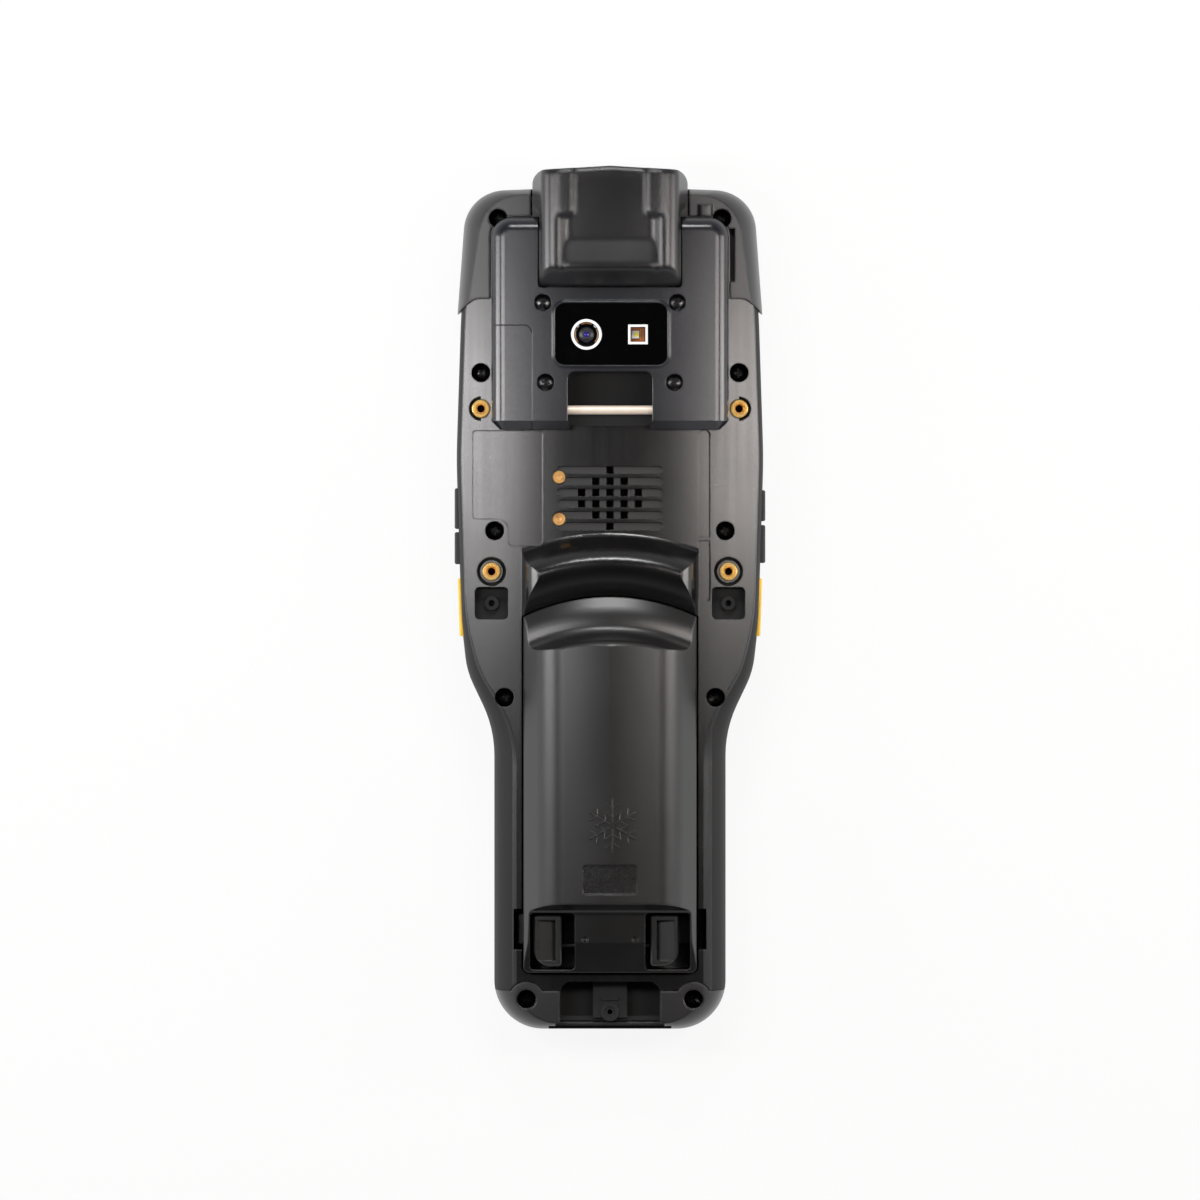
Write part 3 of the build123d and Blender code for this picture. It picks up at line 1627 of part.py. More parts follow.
frame_seat = glass_seat + panel_thickness
board_x = (-board_half, board_half)
with BuildPart() as mid_frame:
    extrude(plate_outline(frame_seat, board_x, panel_y, 2.0), amount=frame_thickness)
    post_ends_y = (panel_y[0] + frame_post_ends[0], panel_y[1] - frame_post_ends[1])
    corner_posts = both_sides([(board_half - frame_post_inset, y) for y in post_ends_y])
    extrude(discs(frame_seat + frame_thickness, corner_posts, frame_post_radius), amount=board_standoff)
    with BuildSketch(Plane.XY.offset(frame_seat)) as lightening:
        with GridLocations(*frame_window_pitch, 3, 3):
            Rectangle(*frame_window)
    cut(lightening.sketch, frame_thickness)
export(mid_frame.part, "mid_frame")

board_seat = frame_seat + frame_thickness + board_standoff
board_y = (battery_top + battery_gap + well_end_wall + board_end_gap, panel_y[1])
with BuildPart() as main_board:
    extrude(plate_outline(board_seat, board_x, board_y, 1.0), amount=board_thickness)
    for chip_x, chip_y, chip_height in chips:
        extrude(plate_outline(board_seat + board_thickness, chip_x, chip_y), amount=chip_height)
export(main_board.part, "main_board")

with BuildPart() as speaker:
    low = cavity_level - speaker_height - fit_gap
    speaker_place = [(0, grille_centre_y)]
    extrude(discs(low, speaker_place, speaker_radius), amount=speaker_height)
    cut(
        discs(low + speaker_height - speaker_dish_depth, speaker_place, speaker_radius - speaker_frame),
        speaker_height,
    )
export(speaker.part, "speaker")

key_room_level = face_inside + fit_gap
key_board_level = key_room_level + key_flange_thickness + key_travel + key_board_gap
with BuildPart() as keypad_board:
    key_rows = [place[1] for place, size in front_keys.values()]
    keypad_x = let_out((0, 0), grip_half - side_wall - key_board_side_gap)
    keypad_y = (min(key_rows) - key_board_margins[0], max(key_rows) + key_board_margins[1])
    keypad_posts = both_sides([(key_board_post_x, y) for y in let_out(keypad_y, -key_board_post_inset)])
    keypad_top = key_board_level + key_board_thickness
    extrude(plate_outline(key_board_level, keypad_x, keypad_y, 1.5), amount=key_board_thickness)
    extrude(discs(keypad_top, keypad_posts, frame_post_radius), amount=split_level - keypad_top - fit_gap)
export(keypad_board.part, "keypad_board")

with BuildPart() as dock_connector:
    extrude(
        plate_outline(dock_low, (-dock_half, dock_half), (tail_end + dock_setback, tail_end + dock_depth)),
        amount=dock_high - dock_low,
    )
    with BuildSketch(Plane.XZ.offset(-tail_end)):
        with Locations((0, (dock_low + dock_high) / 2)):
            with GridLocations(dock_pin_pitch, 1, dock_pin_count, 1):
                Rectangle(*dock_pin)
    extrude(amount=-(dock_setback + dock_pin_depth), mode=Mode.SUBTRACT)
export(dock_connector.part, "dock_connector")

with BuildPart() as battery_contacts:
    with BuildSketch(Plane.XY.offset(well_floor)) as blades:
        with Locations(*pads):
            Rectangle(blade_width, blade_length)
    extrude(amount=battery_floor_level - well_floor)
export(battery_contacts.part, "battery_contacts")

# ------------------------------------------------------------------ keys and triggers


def front_key(place, size):
    """Key cap with its retaining flange inside the face."""
    (x, y), (width, length) = place, size
    with BuildPart() as key:
        extrude(
            key_outline(key_sink, span(x, width), span(y, length), key_corner),
            amount=key_room_level - key_sink,
        )
        chamfer(key.faces().sort_by(Axis.Z)[0].edges(), key_edge)
        extrude(
            plate_outline(key_room_level, span(x, width, key_flange), span(y, length, key_flange)),
            amount=key_flange_thickness,
        )
    return key.part


for name, (place, size) in front_keys.items():
    export(front_key(place, size), name)


def side_button(side, ends, wall_x, outer):
    """Side key: cap through the wall and flange behind it; outer gives its face at both ends."""
    flange_x = wall_x - fit_gap
    with BuildPart() as button:
        with BuildSketch(Plane.XY.offset(button_low)) as cap:
            with BuildLine():
                Polyline(
                    (flange_x, ends[0]),
                    (outer[0], ends[0]),
                    (outer[1], ends[1]),
                    (flange_x, ends[1]),
                    close=True,
                )
            make_face()
        extrude(amount=button_high - button_low)
        fillet(button.faces().sort_by(Axis.X)[-1].edges(), key_edge)
        extrude(
            plate_outline(
                button_low - button_flange,
                (flange_x - button_flange_thickness, flange_x),
                ends,
            ),
            amount=button_high - button_low + 2 * button_flange,
        )
        if side < 0:
            mirror(about=Plane.YZ, mode=Mode.REPLACE)
    return button.part


button_outer = head_half + button_proud
for name, (side, ends) in buttons.items():
    export(side_button(side, ends, button_wall_x, (button_outer, button_outer)), name)

trigger_lean = (head_half - trigger_half) / (head_y - trigger_y)
trigger_outer = [trigger_half + trigger_proud + trigger_lean * (y - trigger_y) for y in trigger_span]
for name, side in triggers.items():
    export(side_button(side, trigger_span, trigger_wall_x, trigger_outer), name)
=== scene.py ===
# %% [markdown]
# # Dressing a rugged barcode terminal
# The terminal lies on its display side, so the camera looks at its back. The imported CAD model
# is a fixed frame: it gives every piece its place, and this script only adds the finish and
# the detail that is too fine for the solids. Everything is in metres.

import math
import random

import bmesh
import bpy
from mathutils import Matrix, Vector
from mathutils.bvhtree import BVHTree


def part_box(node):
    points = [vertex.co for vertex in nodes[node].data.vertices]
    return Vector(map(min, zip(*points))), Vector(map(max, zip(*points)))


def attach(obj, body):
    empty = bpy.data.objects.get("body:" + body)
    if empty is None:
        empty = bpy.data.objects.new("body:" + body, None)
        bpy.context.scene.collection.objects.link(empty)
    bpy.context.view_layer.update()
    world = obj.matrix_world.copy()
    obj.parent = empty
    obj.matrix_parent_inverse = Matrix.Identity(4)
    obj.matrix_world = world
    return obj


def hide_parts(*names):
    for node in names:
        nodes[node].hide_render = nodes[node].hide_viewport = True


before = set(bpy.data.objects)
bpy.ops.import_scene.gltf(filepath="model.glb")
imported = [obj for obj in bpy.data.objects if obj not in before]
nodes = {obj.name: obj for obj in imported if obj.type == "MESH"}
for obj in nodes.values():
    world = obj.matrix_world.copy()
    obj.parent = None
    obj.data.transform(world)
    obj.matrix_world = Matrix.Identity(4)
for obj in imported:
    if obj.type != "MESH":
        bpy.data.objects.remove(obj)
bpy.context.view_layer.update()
MM = 0.001

# %% [markdown]
# ## Camera
# A flat product is best shown from straight above. An orthographic camera could do it, but it
# drops the slight perspective that every real lens has. A long lens at three metres keeps the
# tall scanner hood and the low edges at almost the same scale.

# %% Camera
view_width = 306.3 * MM  # what the square view spans at the middle of the object's height
middle_level = 20 * MM
camera_place = (-2.55 * MM, -0.26 * MM, 3.0)
sensor_width = 36.0
camera_data = bpy.data.cameras.new("camera")
camera_data.sensor_width = sensor_width
camera_data.lens = sensor_width * (camera_place[2] - middle_level) / view_width
camera_data.clip_end = 20.0
camera = bpy.data.objects.new("camera", camera_data)
camera.location = camera_place
bpy.context.scene.collection.objects.link(camera)
bpy.context.scene.camera = camera
print("lens", round(camera_data.lens), "mm")

# %% [markdown]
# ## Shader maths
# A finish is easier to read as arithmetic than as a list of linked nodes. `Wire` wraps one
# socket and turns + - * into Math nodes. `Finish` owns a material and adds any other node.


# %% Wires
class Wire:
    """A shader socket that takes part in plain arithmetic."""

    def __init__(self, finish, socket):
        self.finish = finish
        self.socket = socket

    def maths(self, operation, *values):
        return self.finish.node("ShaderNodeMath", {"operation": operation}, dict(enumerate(values)))

    def __add__(self, other):
        return self.maths("ADD", self, other)

    def __mul__(self, other):
        return self.maths("MULTIPLY", self, other)

    def __sub__(self, other):
        return self.maths("SUBTRACT", self, other)

    def __rsub__(self, other):
        return self.maths("SUBTRACT", other, self)

    def ramp(self, low, high):
        """0 below low, 1 above high and smooth in between."""
        sockets = {"Value": self, "From Min": low, "From Max": high}
        return self.finish.node("ShaderNodeMapRange", {"interpolation_type": "SMOOTHSTEP"}, sockets)

    __radd__ = __add__
    __rmul__ = __mul__


print("wires ready")


# %% Finishes
class Finish:
    """A material with one principled shader and a method that adds any other node."""

    def __init__(self, name, colour, roughness, **constants):
        self.material = bpy.data.materials.new(name)
        self.material.use_nodes = True
        self.tree = self.material.node_tree
        self.tree.nodes.clear()
        self.shader = self.tree.nodes.new("ShaderNodeBsdfPrincipled")
        output = self.tree.nodes.new("ShaderNodeOutputMaterial")
        self.tree.links.new(self.shader.outputs["BSDF"], output.inputs["Surface"])
        self.feed("Base Color", (*colour, 1.0))
        self.feed("Roughness", roughness)
        for name, value in constants.items():
            self.feed(name.replace("_", " ").title().replace("Ior", "IOR"), value)
        self.place = self.node("ShaderNodeTexCoord", output="Object")

    def plug(self, socket, value):
        """Link a wire to a socket, or set the socket to a plain value."""
        if isinstance(value, Wire):
            self.tree.links.new(value.socket, socket)
        else:
            socket.default_value = value

    def feed(self, name, value):
        """Plug a value into the shader's own socket."""
        self.plug(self.shader.inputs[name], value)

    def node(self, kind, settings=None, sockets=None, output=0):
        """Add a node: its settings first, then the values or links of its sockets."""
        made = self.tree.nodes.new(kind)
        for name, value in (settings or {}).items():
            setattr(made, name, value)
        for name, value in (sockets or {}).items():
            self.plug(made.inputs[name], value)
        return Wire(self, made.outputs[output])

    def along(self, axis):
        """One coordinate of the place on the piece, in metres."""
        return self.node("ShaderNodeSeparateXYZ", {}, {"Vector": self.place}, axis)

    def stretched(self, x=1.0, y=1.0, z=1.0):
        """Object coordinates with each axis scaled, so that a pattern runs along one of them."""
        return self.node("ShaderNodeMapping", {}, {"Vector": self.place, "Scale": (x, y, z)})

    def noise(self, size, detail=2.0, place=None, roughness=0.5):
        """Noise whose spots are about the given size in metres."""
        sockets = {"Scale": 1 / size, "Detail": detail, "Roughness": roughness}
        sockets["Vector"] = place or self.place
        return self.node("ShaderNodeTexNoise", {}, sockets, output="Fac")

    def tint(self, factor, one, other):
        """A colour between two, by a factor."""
        one, other = (pick if isinstance(pick, Wire) else (*pick, 1.0) for pick in (one, other))
        sockets = {"Factor": factor, "A": one, "B": other}
        return self.node("ShaderNodeMix", {"data_type": "RGBA"}, sockets, "Result")

    def relief(self, height, depth, normal=None):
        """Feed a height pattern, with its real depth in metres, to the normal."""
        sockets = {"Height": height, "Distance": depth}
        if normal:
            sockets["Normal"] = normal
        self.feed("Normal", self.node("ShaderNodeBump", {}, sockets))


print("finishes ready")

# %% [markdown]
# ## Floor, world and lamps
# Black plastic has almost no colour of its own: what it shows are reflections. One large
# overhead sheet would turn the whole back grey. Two small strong soft boxes hang left and
# right of the camera's line of sight instead, with a dark gap between them, so the flat back
# goes from black in the middle to grey at its sides and every rounded shoulder carries one
# bright band. A low strip on each side lights the flanks, and one box beyond the scanner end
# lights the slopes that face it. The room is pale at the horizon and dark overhead. The floor
# glows white to the camera, and the small share that doesn't glow keeps the object's shadow.


# %% Floor
def flat_plane(name, half, level):
    """A level square sheet."""
    mesh = bpy.data.meshes.new(name)
    corners = [(-half, -half, level), (half, -half, level), (half, half, level), (-half, half, level)]
    mesh.from_pydata(corners, [], [(0, 1, 2, 3)])
    made = bpy.data.objects.new(name, mesh)
    bpy.context.scene.collection.objects.link(made)
    return made


floor_half = 3.0
floor_level = -0.2 * MM  # just below the terminal, so that no two faces share a level
paper_share = 0.9  # how much of the sheet glows white; the rest keeps the object's shadow
floor = flat_plane("floor", floor_half, floor_level)
paper = Finish("floor_paper", (0.86, 0.86, 0.86), 0.9)
rays = paper.tree.nodes.new("ShaderNodeLightPath")
seen = Wire(paper, rays.outputs["Is Camera Ray"])
for ray in ("Is Glossy Ray", "Is Transmission Ray"):
    seen = seen.maths("MAXIMUM", seen, Wire(paper, rays.outputs[ray]))
glow = paper.node("ShaderNodeEmission", {}, {"Color": (1.0, 1.0, 1.0, 1.0), "Strength": 1.0}, "Emission")
lit = paper.tree.nodes.new("ShaderNodeMixShader")
paper.plug(lit.inputs["Fac"], seen * paper_share)
paper.tree.links.new(paper.shader.outputs["BSDF"], lit.inputs[1])
paper.plug(lit.inputs[2], glow)
paper.tree.links.new(lit.outputs[0], paper.tree.nodes["Material Output"].inputs["Surface"])
floor.data.materials.append(paper.material)
print("floor ready")

# %% World
horizon_strength, overhead_strength = 0.7, 0.02
horizon_end, overhead_start = 0.05, 0.75  # upward part of the direction
world = bpy.data.worlds.new("studio")
bpy.context.scene.world = world
world.use_nodes = True
sky = world.node_tree
sky.nodes.clear()
direction = sky.nodes.new("ShaderNodeTexCoord")
split = sky.nodes.new("ShaderNodeSeparateXYZ")
height = sky.nodes.new("ShaderNodeMapRange")
height.interpolation_type = "SMOOTHSTEP"
height.inputs["From Min"].default_value = horizon_end
height.inputs["From Max"].default_value = overhead_start
height.inputs["To Min"].default_value = horizon_strength
height.inputs["To Max"].default_value = overhead_strength
room = sky.nodes.new("ShaderNodeBackground")
room.inputs["Color"].default_value = (0.97, 0.98, 1.0, 1.0)
sky.links.new(direction.outputs["Generated"], split.inputs[0])
sky.links.new(split.outputs["Z"], height.inputs["Value"])
sky.links.new(height.outputs[0], room.inputs["Strength"])
sky.links.new(room.outputs[0], sky.nodes.new("ShaderNodeOutputWorld").inputs["Surface"])
bpy.context.scene.view_settings.view_transform = "Standard"
print("world ready")


# %% Lamps
def soft_box(name, place, size, radiance, target, tone=(1.0, 1.0, 1.0)):
    """A rectangular lamp that faces the object; it isn't seen itself."""
    lamp = bpy.data.lights.new(name, "AREA")
    lamp.shape = "RECTANGLE"
    lamp.size, lamp.size_y = size
    lamp.energy = radiance * math.pi * size[0] * size[1]
    lamp.color = tone
    made = bpy.data.objects.new(name, lamp)
    made.location = place
    made.rotation_euler = (Vector(target) - Vector(place)).to_track_quat("-Z", "Y").to_euler()
    made.visible_camera = False
    bpy.context.scene.collection.objects.link(made)


box_size, strip_size, end_size = (0.07, 0.25), (0.09, 0.34), (0.24, 0.07)
body_middle, box_target = (0.0, 0.0, 0.02), (0.0, 0.02, 0.02)
strip_share = 0.85  # radiance of a strip against the box on its side
lamp_sides = ((-1, "left", 16.5, (1.0, 0.98, 0.98)), (1, "right", 14.0, (1.0, 0.94, 0.90)))
for side, word, radiance, tone in lamp_sides:
    box_place, strip_place = (side * 0.235, 0.065, 0.48), (side * 0.52, 0.05, 0.21)
    soft_box(f"box_{word}", box_place, box_size, radiance, box_target, tone)
    soft_box(f"strip_{word}", strip_place, strip_size, radiance * strip_share, body_middle, tone)
soft_box("box_scanner_end", (0.0, 0.40, 0.40), end_size, 24.0, body_middle)

# %% [markdown]
# ## Moulded plastics
# Every moulding of the case is black, yet no two look alike: the rear housing is nearly
# polished, the camera cover is a cool satin, the battery and the hood carry a fine spark
# texture and the bumpers are rubber. They could be five hand-made materials. One function
# that mixes them from a few sizes keeps them related, as parts of one product are. The Bevel
# node rounds the sharp CAD edges in the shading, as a mould does, and marks them for wear. The
# real back is slightly domed, so the shading leans outwards with the distance from the middle.

# %% Edges and dome
wide_reach = 1 * MM  # wider roundings need more samples to stay smooth


def worn_edges(finish, reach):
    """The rounded normal, and 1 on sharp edges, where handling has polished the plastic."""
    rounded = finish.node("ShaderNodeBevel", {"samples": 4 if reach < wide_reach else 12}, {"Radius": reach})
    true = finish.node("ShaderNodeNewGeometry", output="Normal")
    same = finish.node("ShaderNodeVectorMath", {"operation": "DOT_PRODUCT"}, {0: rounded, 1: true}, "Value")
    return rounded, (1 - same).ramp(0.02, 0.25)


def crowned(finish, normal, bend):
    """The normal leans outwards with the distance from the middle, as on a slightly domed back."""
    lean = finish.node("ShaderNodeCombineXYZ", {}, {"X": finish.along("X") * bend})
    both = finish.node("ShaderNodeVectorMath", {"operation": "ADD"}, {0: normal, 1: lean})
    return finish.node("ShaderNodeVectorMath", {"operation": "NORMALIZE"}, {0: both})


print("edges and dome ready")

# %% Plastic
blotch_size, wear_size, dust_size = 16 * MM, 2.5 * MM, 0.45 * MM
dust_grey = (0.25, 0.25, 0.25)
channel_x, channel_half = 24.1 * MM, 1.7 * MM  # a polished channel beside the battery well
matt_fade = 0.2 * MM  # over this width the matt floors turn into polished walls


def plastic(
    name, colour, roughness, grain, depth, streaks=0.0, worn=4.0, bend=4.4, matt_below=None, reach=0.3 * MM
):
    """Moulded plastic: grain, soft blotches, worn edges, dust and, where asked, flow lines.

    Recesses below the given level keep the spark texture of the mould and so look matt."""
    finish = Finish(name, colour, roughness, ior=1.585)
    rounded, edges = worn_edges(finish, reach)
    rounded = crowned(finish, rounded, bend)
    blotches = finish.noise(blotch_size, 3.0)
    sparkle = finish.noise(grain, 3.0, roughness=0.6)
    wear = edges * finish.noise(wear_size, 4.0).ramp(0.3, 0.7)
    dust = finish.noise(dust_size, 1.0).ramp(0.80, 0.84)
    shade = finish.tint(blotches.ramp(0.3, 0.75), colour, [part * 1.4 for part in colour])
    used = finish.tint(wear * 0.8, shade, [part * worn for part in colour])
    finish.feed("Base Color", finish.tint(dust * 0.25, used, dust_grey))
    rough = roughness + (blotches - 0.5) * 0.06 + (sparkle - 0.5) * 0.08 - wear * 0.08 + dust * 0.2
    if streaks:
        flow = finish.noise(1.0, 3.0, finish.stretched(900.0, 14.0, 900.0))
        rough = rough + (flow - 0.5) * streaks
    if matt_below:
        aside = finish.along("X") - channel_x
        beside_channel = aside.maths("ABSOLUTE", aside).ramp(channel_half, channel_half + matt_fade)
        recessed = 1 - finish.along("Z").ramp(matt_below - matt_fade, matt_below)
        rough = rough + recessed * beside_channel * 0.6
    finish.feed("Roughness", rough)
    finish.relief(sparkle, depth, rounded)
    return finish.material


print("plastic ready")

# %% Plastics of the case
recess_level = 23.5 * MM  # the floors round the battery well lie below it
housing_black = (0.0040, 0.0038, 0.0039)
housing_plastic = plastic(
    "housing_plastic", housing_black, 0.23, 0.5 * MM, 0.0016 * MM, 0.07, bend=3.9, matt_below=recess_level
)
front_plastic = plastic("front_plastic", (0.006, 0.006, 0.0065), 0.38, 0.4 * MM, 0.006 * MM)
cover_plastic = plastic(
    "cover_plastic", (0.0078, 0.0085, 0.0120), 0.25, 0.32 * MM, 0.003 * MM, 0.015, bend=3.4
)
battery_plastic = plastic(
    "battery_plastic", (0.0075, 0.0070, 0.0070), 0.31, 0.30 * MM, 0.010 * MM, bend=10.5, reach=0.6 * MM
)
hood_plastic = plastic(
    "hood_plastic", (0.0090, 0.0088, 0.0098), 0.25, 0.30 * MM, 0.004 * MM, worn=1.6, bend=6.0, reach=2.2 * MM
)
rubber = plastic("rubber", (0.011, 0.0105, 0.012), 0.36, 0.40 * MM, 0.006 * MM, worn=2.0, reach=0.8 * MM)
latch_plastic = plastic("latch_plastic", (0.006, 0.006, 0.0062), 0.32, 0.4 * MM, 0.004 * MM)
key_rubber = plastic("key_rubber", (0.016, 0.016, 0.018), 0.55, 0.4 * MM, 0.01 * MM, worn=2.0, bend=0.0)
trigger_plastic = plastic(
    "trigger_plastic", (0.86, 0.50, 0.012), 0.42, 0.4 * MM, 0.008 * MM, worn=1.1, bend=0.0
)
print("nine plastics and rubbers ready")

# %% [markdown]
# ## Metals, glass and boards
# The strap bar is drawn nickel, and three quarters of its colour is a pale cream that is painted
# sheen: it stands for the white room that the steel reflects. The inserts are turned brass, the
# contacts are dull gold on copper. Inside there are boards, contacts and cells, which a lifted
# battery or an opened case would show. A single grey metal would do for so small a part, but
# brass and gold are what the eye finds first on a black back, so each metal has its own colour,
# tarnish and scratches.


# %% Metals
def metal(
    name, colour, dull, roughness, stretch=(1.0, 1.0, 1.0), scratch=0.3 * MM, depth=0.004 * MM, bare=1.0
):
    """Metal with tarnished patches and fine scratches; the bare share reflects, the rest is lacquer, and on
    the nickel bar a painted sheen.
    """
    finish = Finish(name, colour, roughness, metallic=bare)
    patches = finish.noise(3.0 * MM, 4.0)
    lines = finish.noise(scratch, 3.0, finish.stretched(*stretch))
    finish.feed("Base Color", finish.tint(patches.ramp(0.35, 0.75), colour, dull))
    finish.feed("Roughness", roughness + (patches - 0.5) * 0.18 + (lines - 0.5) * 0.2)
    finish.relief(lines, depth)
    return finish.material


drawn = (0.05, 1.0, 1.0)  # scratches of a drawn bar run along x
brass = metal("brass", (0.95, 0.62, 0.20), (0.82, 0.46, 0.11), 0.26, bare=0.6)
contact_gold = metal("contact_gold", (0.66, 0.38, 0.13), (0.40, 0.20, 0.07), 0.42, bare=0.6)
# Painted reflection: the bar's pale cream diffuse share stands for the white surroundings mirrored in the
# steel; only a quarter is bare metal.
nickel = metal("nickel", (0.86, 0.74, 0.62), (0.78, 0.66, 0.54), 0.42, drawn, 0.22 * MM, 0.006 * MM, 0.25)
black_steel = metal("black_steel", (0.085, 0.083, 0.085), (0.040, 0.040, 0.040), 0.24)
bright_steel = metal("bright_steel", (0.62, 0.62, 0.63), (0.5, 0.5, 0.5), 0.32)
print("metals ready")


# %% Glass, lacquer and boards
def smooth(name, colour, roughness, **constants):
    """Glass, lacquer and sheet: smooth, with a little dust and smear in its gloss."""
    finish = Finish(name, colour, roughness, **constants)
    smear = finish.noise(6 * MM, 4.0)
    dust = finish.noise(0.5 * MM, 1.0).ramp(0.80, 0.86)
    finish.feed("Roughness", roughness + smear.ramp(0.45, 0.8) * 0.08 + dust * 0.3)
    finish.feed("Base Color", finish.tint(dust * 0.06, colour, (0.6, 0.6, 0.6)))
    return finish.material


window_glass = smooth("window_glass", (0.001, 0.001, 0.001), 0.05)
ring_white = smooth("ring_white", (0.86, 0.87, 0.87), 0.4)
lens_black = smooth("lens_black", (0.004, 0.004, 0.0045), 0.22)
bezel_bronze = smooth("bezel_bronze", (0.30, 0.15, 0.06), 0.35)
flash_lacquer = smooth("flash_lacquer", (0.36, 0.085, 0.010), 0.4)
flash_track = smooth("flash_track", (0.62, 0.24, 0.05), 0.35)
lens_dome_black = smooth("lens_dome_black", (0.022, 0.022, 0.030), 0.30)
pupil_blue = smooth("pupil_blue", (0.035, 0.02, 0.34), 0.12)
led_white = smooth("led_white", (0.70, 0.70, 0.66), 0.45)
led_yellow = smooth("led_yellow", (0.82, 0.72, 0.03), 0.35)
display_black = smooth("display_black", (0.004, 0.004, 0.005), 0.05, coat_weight=0.5)
board_green = smooth("board_green", (0.012, 0.05, 0.030), 0.45)
cell_sleeve = smooth("cell_sleeve", (0.02, 0.10, 0.22), 0.4)
seal_rubber = smooth("seal_rubber", (0.03, 0.03, 0.03), 0.7)
legend_white = smooth("legend_white", (0.80, 0.80, 0.80), 0.5)
print(len(bpy.data.materials), "materials in all")

# %% [markdown]
# ## Dress the carried-over solids
# Most CAD solids already have the right shape. They could be rebuilt here with softer edges,
# but then two models would have to agree, so they stay and only their material changes.

# %% Dress the solids
dressing = {
    housing_plastic: ["rear_housing"],
    front_plastic: ["front_housing", "dock_connector", "speaker"],
    cover_plastic: ["camera_cover", "side_access_cover"],
    battery_plastic: ["battery_case", "battery_base"],
    hood_plastic: ["scanner_hood"],
    rubber: ["top_bumper", "bottom_bumper"],
    latch_plastic: ["latch_left", "latch_right"],
    trigger_plastic: ["trigger_left", "trigger_right", "scan_key"],
    brass: ["strap_inserts"],
    contact_gold: ["grip_contacts", "battery_contacts", "battery_pads"],
    nickel: ["strap_pin"],
    black_steel: ["cover_screws", "housing_screws"],
    bright_steel: ["mid_frame"],
    window_glass: ["camera_window", "scan_window"],
    ring_white: ["window_rings"],
    lens_black: ["camera_module", "scan_engine", "camera_lens"],
    flash_lacquer: ["flash_board"],
    led_white: ["flash_led"],
    display_black: ["display_glass", "display_panel"],
    board_green: ["main_board", "keypad_board"],
    cell_sleeve: ["battery_cells"],
    seal_rubber: ["housing_seal"],
    key_rubber: [name for name in nodes if "_key_" in name],
}
for material, names in dressing.items():
    for name in names:
        nodes[name].data.materials.clear()
        nodes[name].data.materials.append(material)
undressed = set(nodes) - {name for names in dressing.values() for name in names}
print("nodes without a finish:", sorted(undressed))

# %% [markdown]
# ## Places of the small parts
# Screws, inserts and contacts are too fine for the solids, which hold only a plain cylinder for
# each. Their places could be typed in, but they are read from the CAD nodes, so each detailed
# part sits exactly where its plain solid is, even when a size of the model changes.


# %% Places
def solids_of(name):
    """Lowest and highest corner of each separate solid of a CAD node."""
    work = bmesh.new()
    work.from_mesh(nodes[name].data)
    bmesh.ops.remove_doubles(work, verts=work.verts, dist=1e-7)
    left = set(work.verts)
    found = []
    while left:
        group, border = [], [left.pop()]
        while border:
            vert = border.pop()
            group.append(tuple(vert.co))
            for edge in vert.link_edges:
                other = edge.other_vert(vert)
                if other in left:
                    left.remove(other)
                    border.append(other)
        found.append([tuple(pick(co[axis] for co in group) for axis in range(3)) for pick in (min, max)])
    work.free()
    return sorted(found)


def top_of(corners, level=None):
    """The middle of a solid's top face, or the same place at another level."""
    low, high = corners
    return ((low[0] + high[0]) / 2, (low[1] + high[1]) / 2, high[2] if level is None else level)


print(len(solids_of("housing_screws")), "housing screws,", len(solids_of("cover_screws")), "cover screws")


# %% Finished objects
def settle(made, material, body, stands_for=()):
    """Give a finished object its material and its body."""
    made.data.materials.clear()
    made.data.materials.append(material)
    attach(made, body)
    if stands_for:
        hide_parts(*stands_for)
    print(made.name, len(made.data.polygons), "faces")
    return made


def build(name, parts, material, body, stands_for=(), smooth_below=0.6):
    """One object from several lists of vertices and faces, welded, with its normals outwards."""
    work = bmesh.new()
    for verts, faces in parts:
        made = [work.verts.new(co) for co in verts]
        for face in faces:
            work.faces.new([made[index] for index in face])
    bmesh.ops.remove_doubles(work, verts=work.verts, dist=1e-7)
    bmesh.ops.recalc_face_normals(work, faces=work.faces)
    mesh = bpy.data.meshes.new(name)
    work.to_mesh(mesh)
    work.free()
    mesh.shade_smooth()
    mesh.set_sharp_from_angle(angle=smooth_below)
    made = bpy.data.objects.new(name, mesh)
    bpy.context.scene.collection.objects.link(made)
    return settle(made, material, body, stands_for)


print("mesh building ready")

# %% [markdown]
# ## Screws
# All fourteen screws are black pan heads with a cross recess. They could be modelled once and
# copied by hand. One Geometry Nodes tree makes them instead: a cylinder cut by a ball gives
# the domed head, two crossed bars and a cone cut the recess, and a shank is added. Every screw
# is turned by its own random angle, as a screwdriver leaves it. The tree works in millimetres,
# because its exact booleans like plain sizes, and is scaled where it is placed.


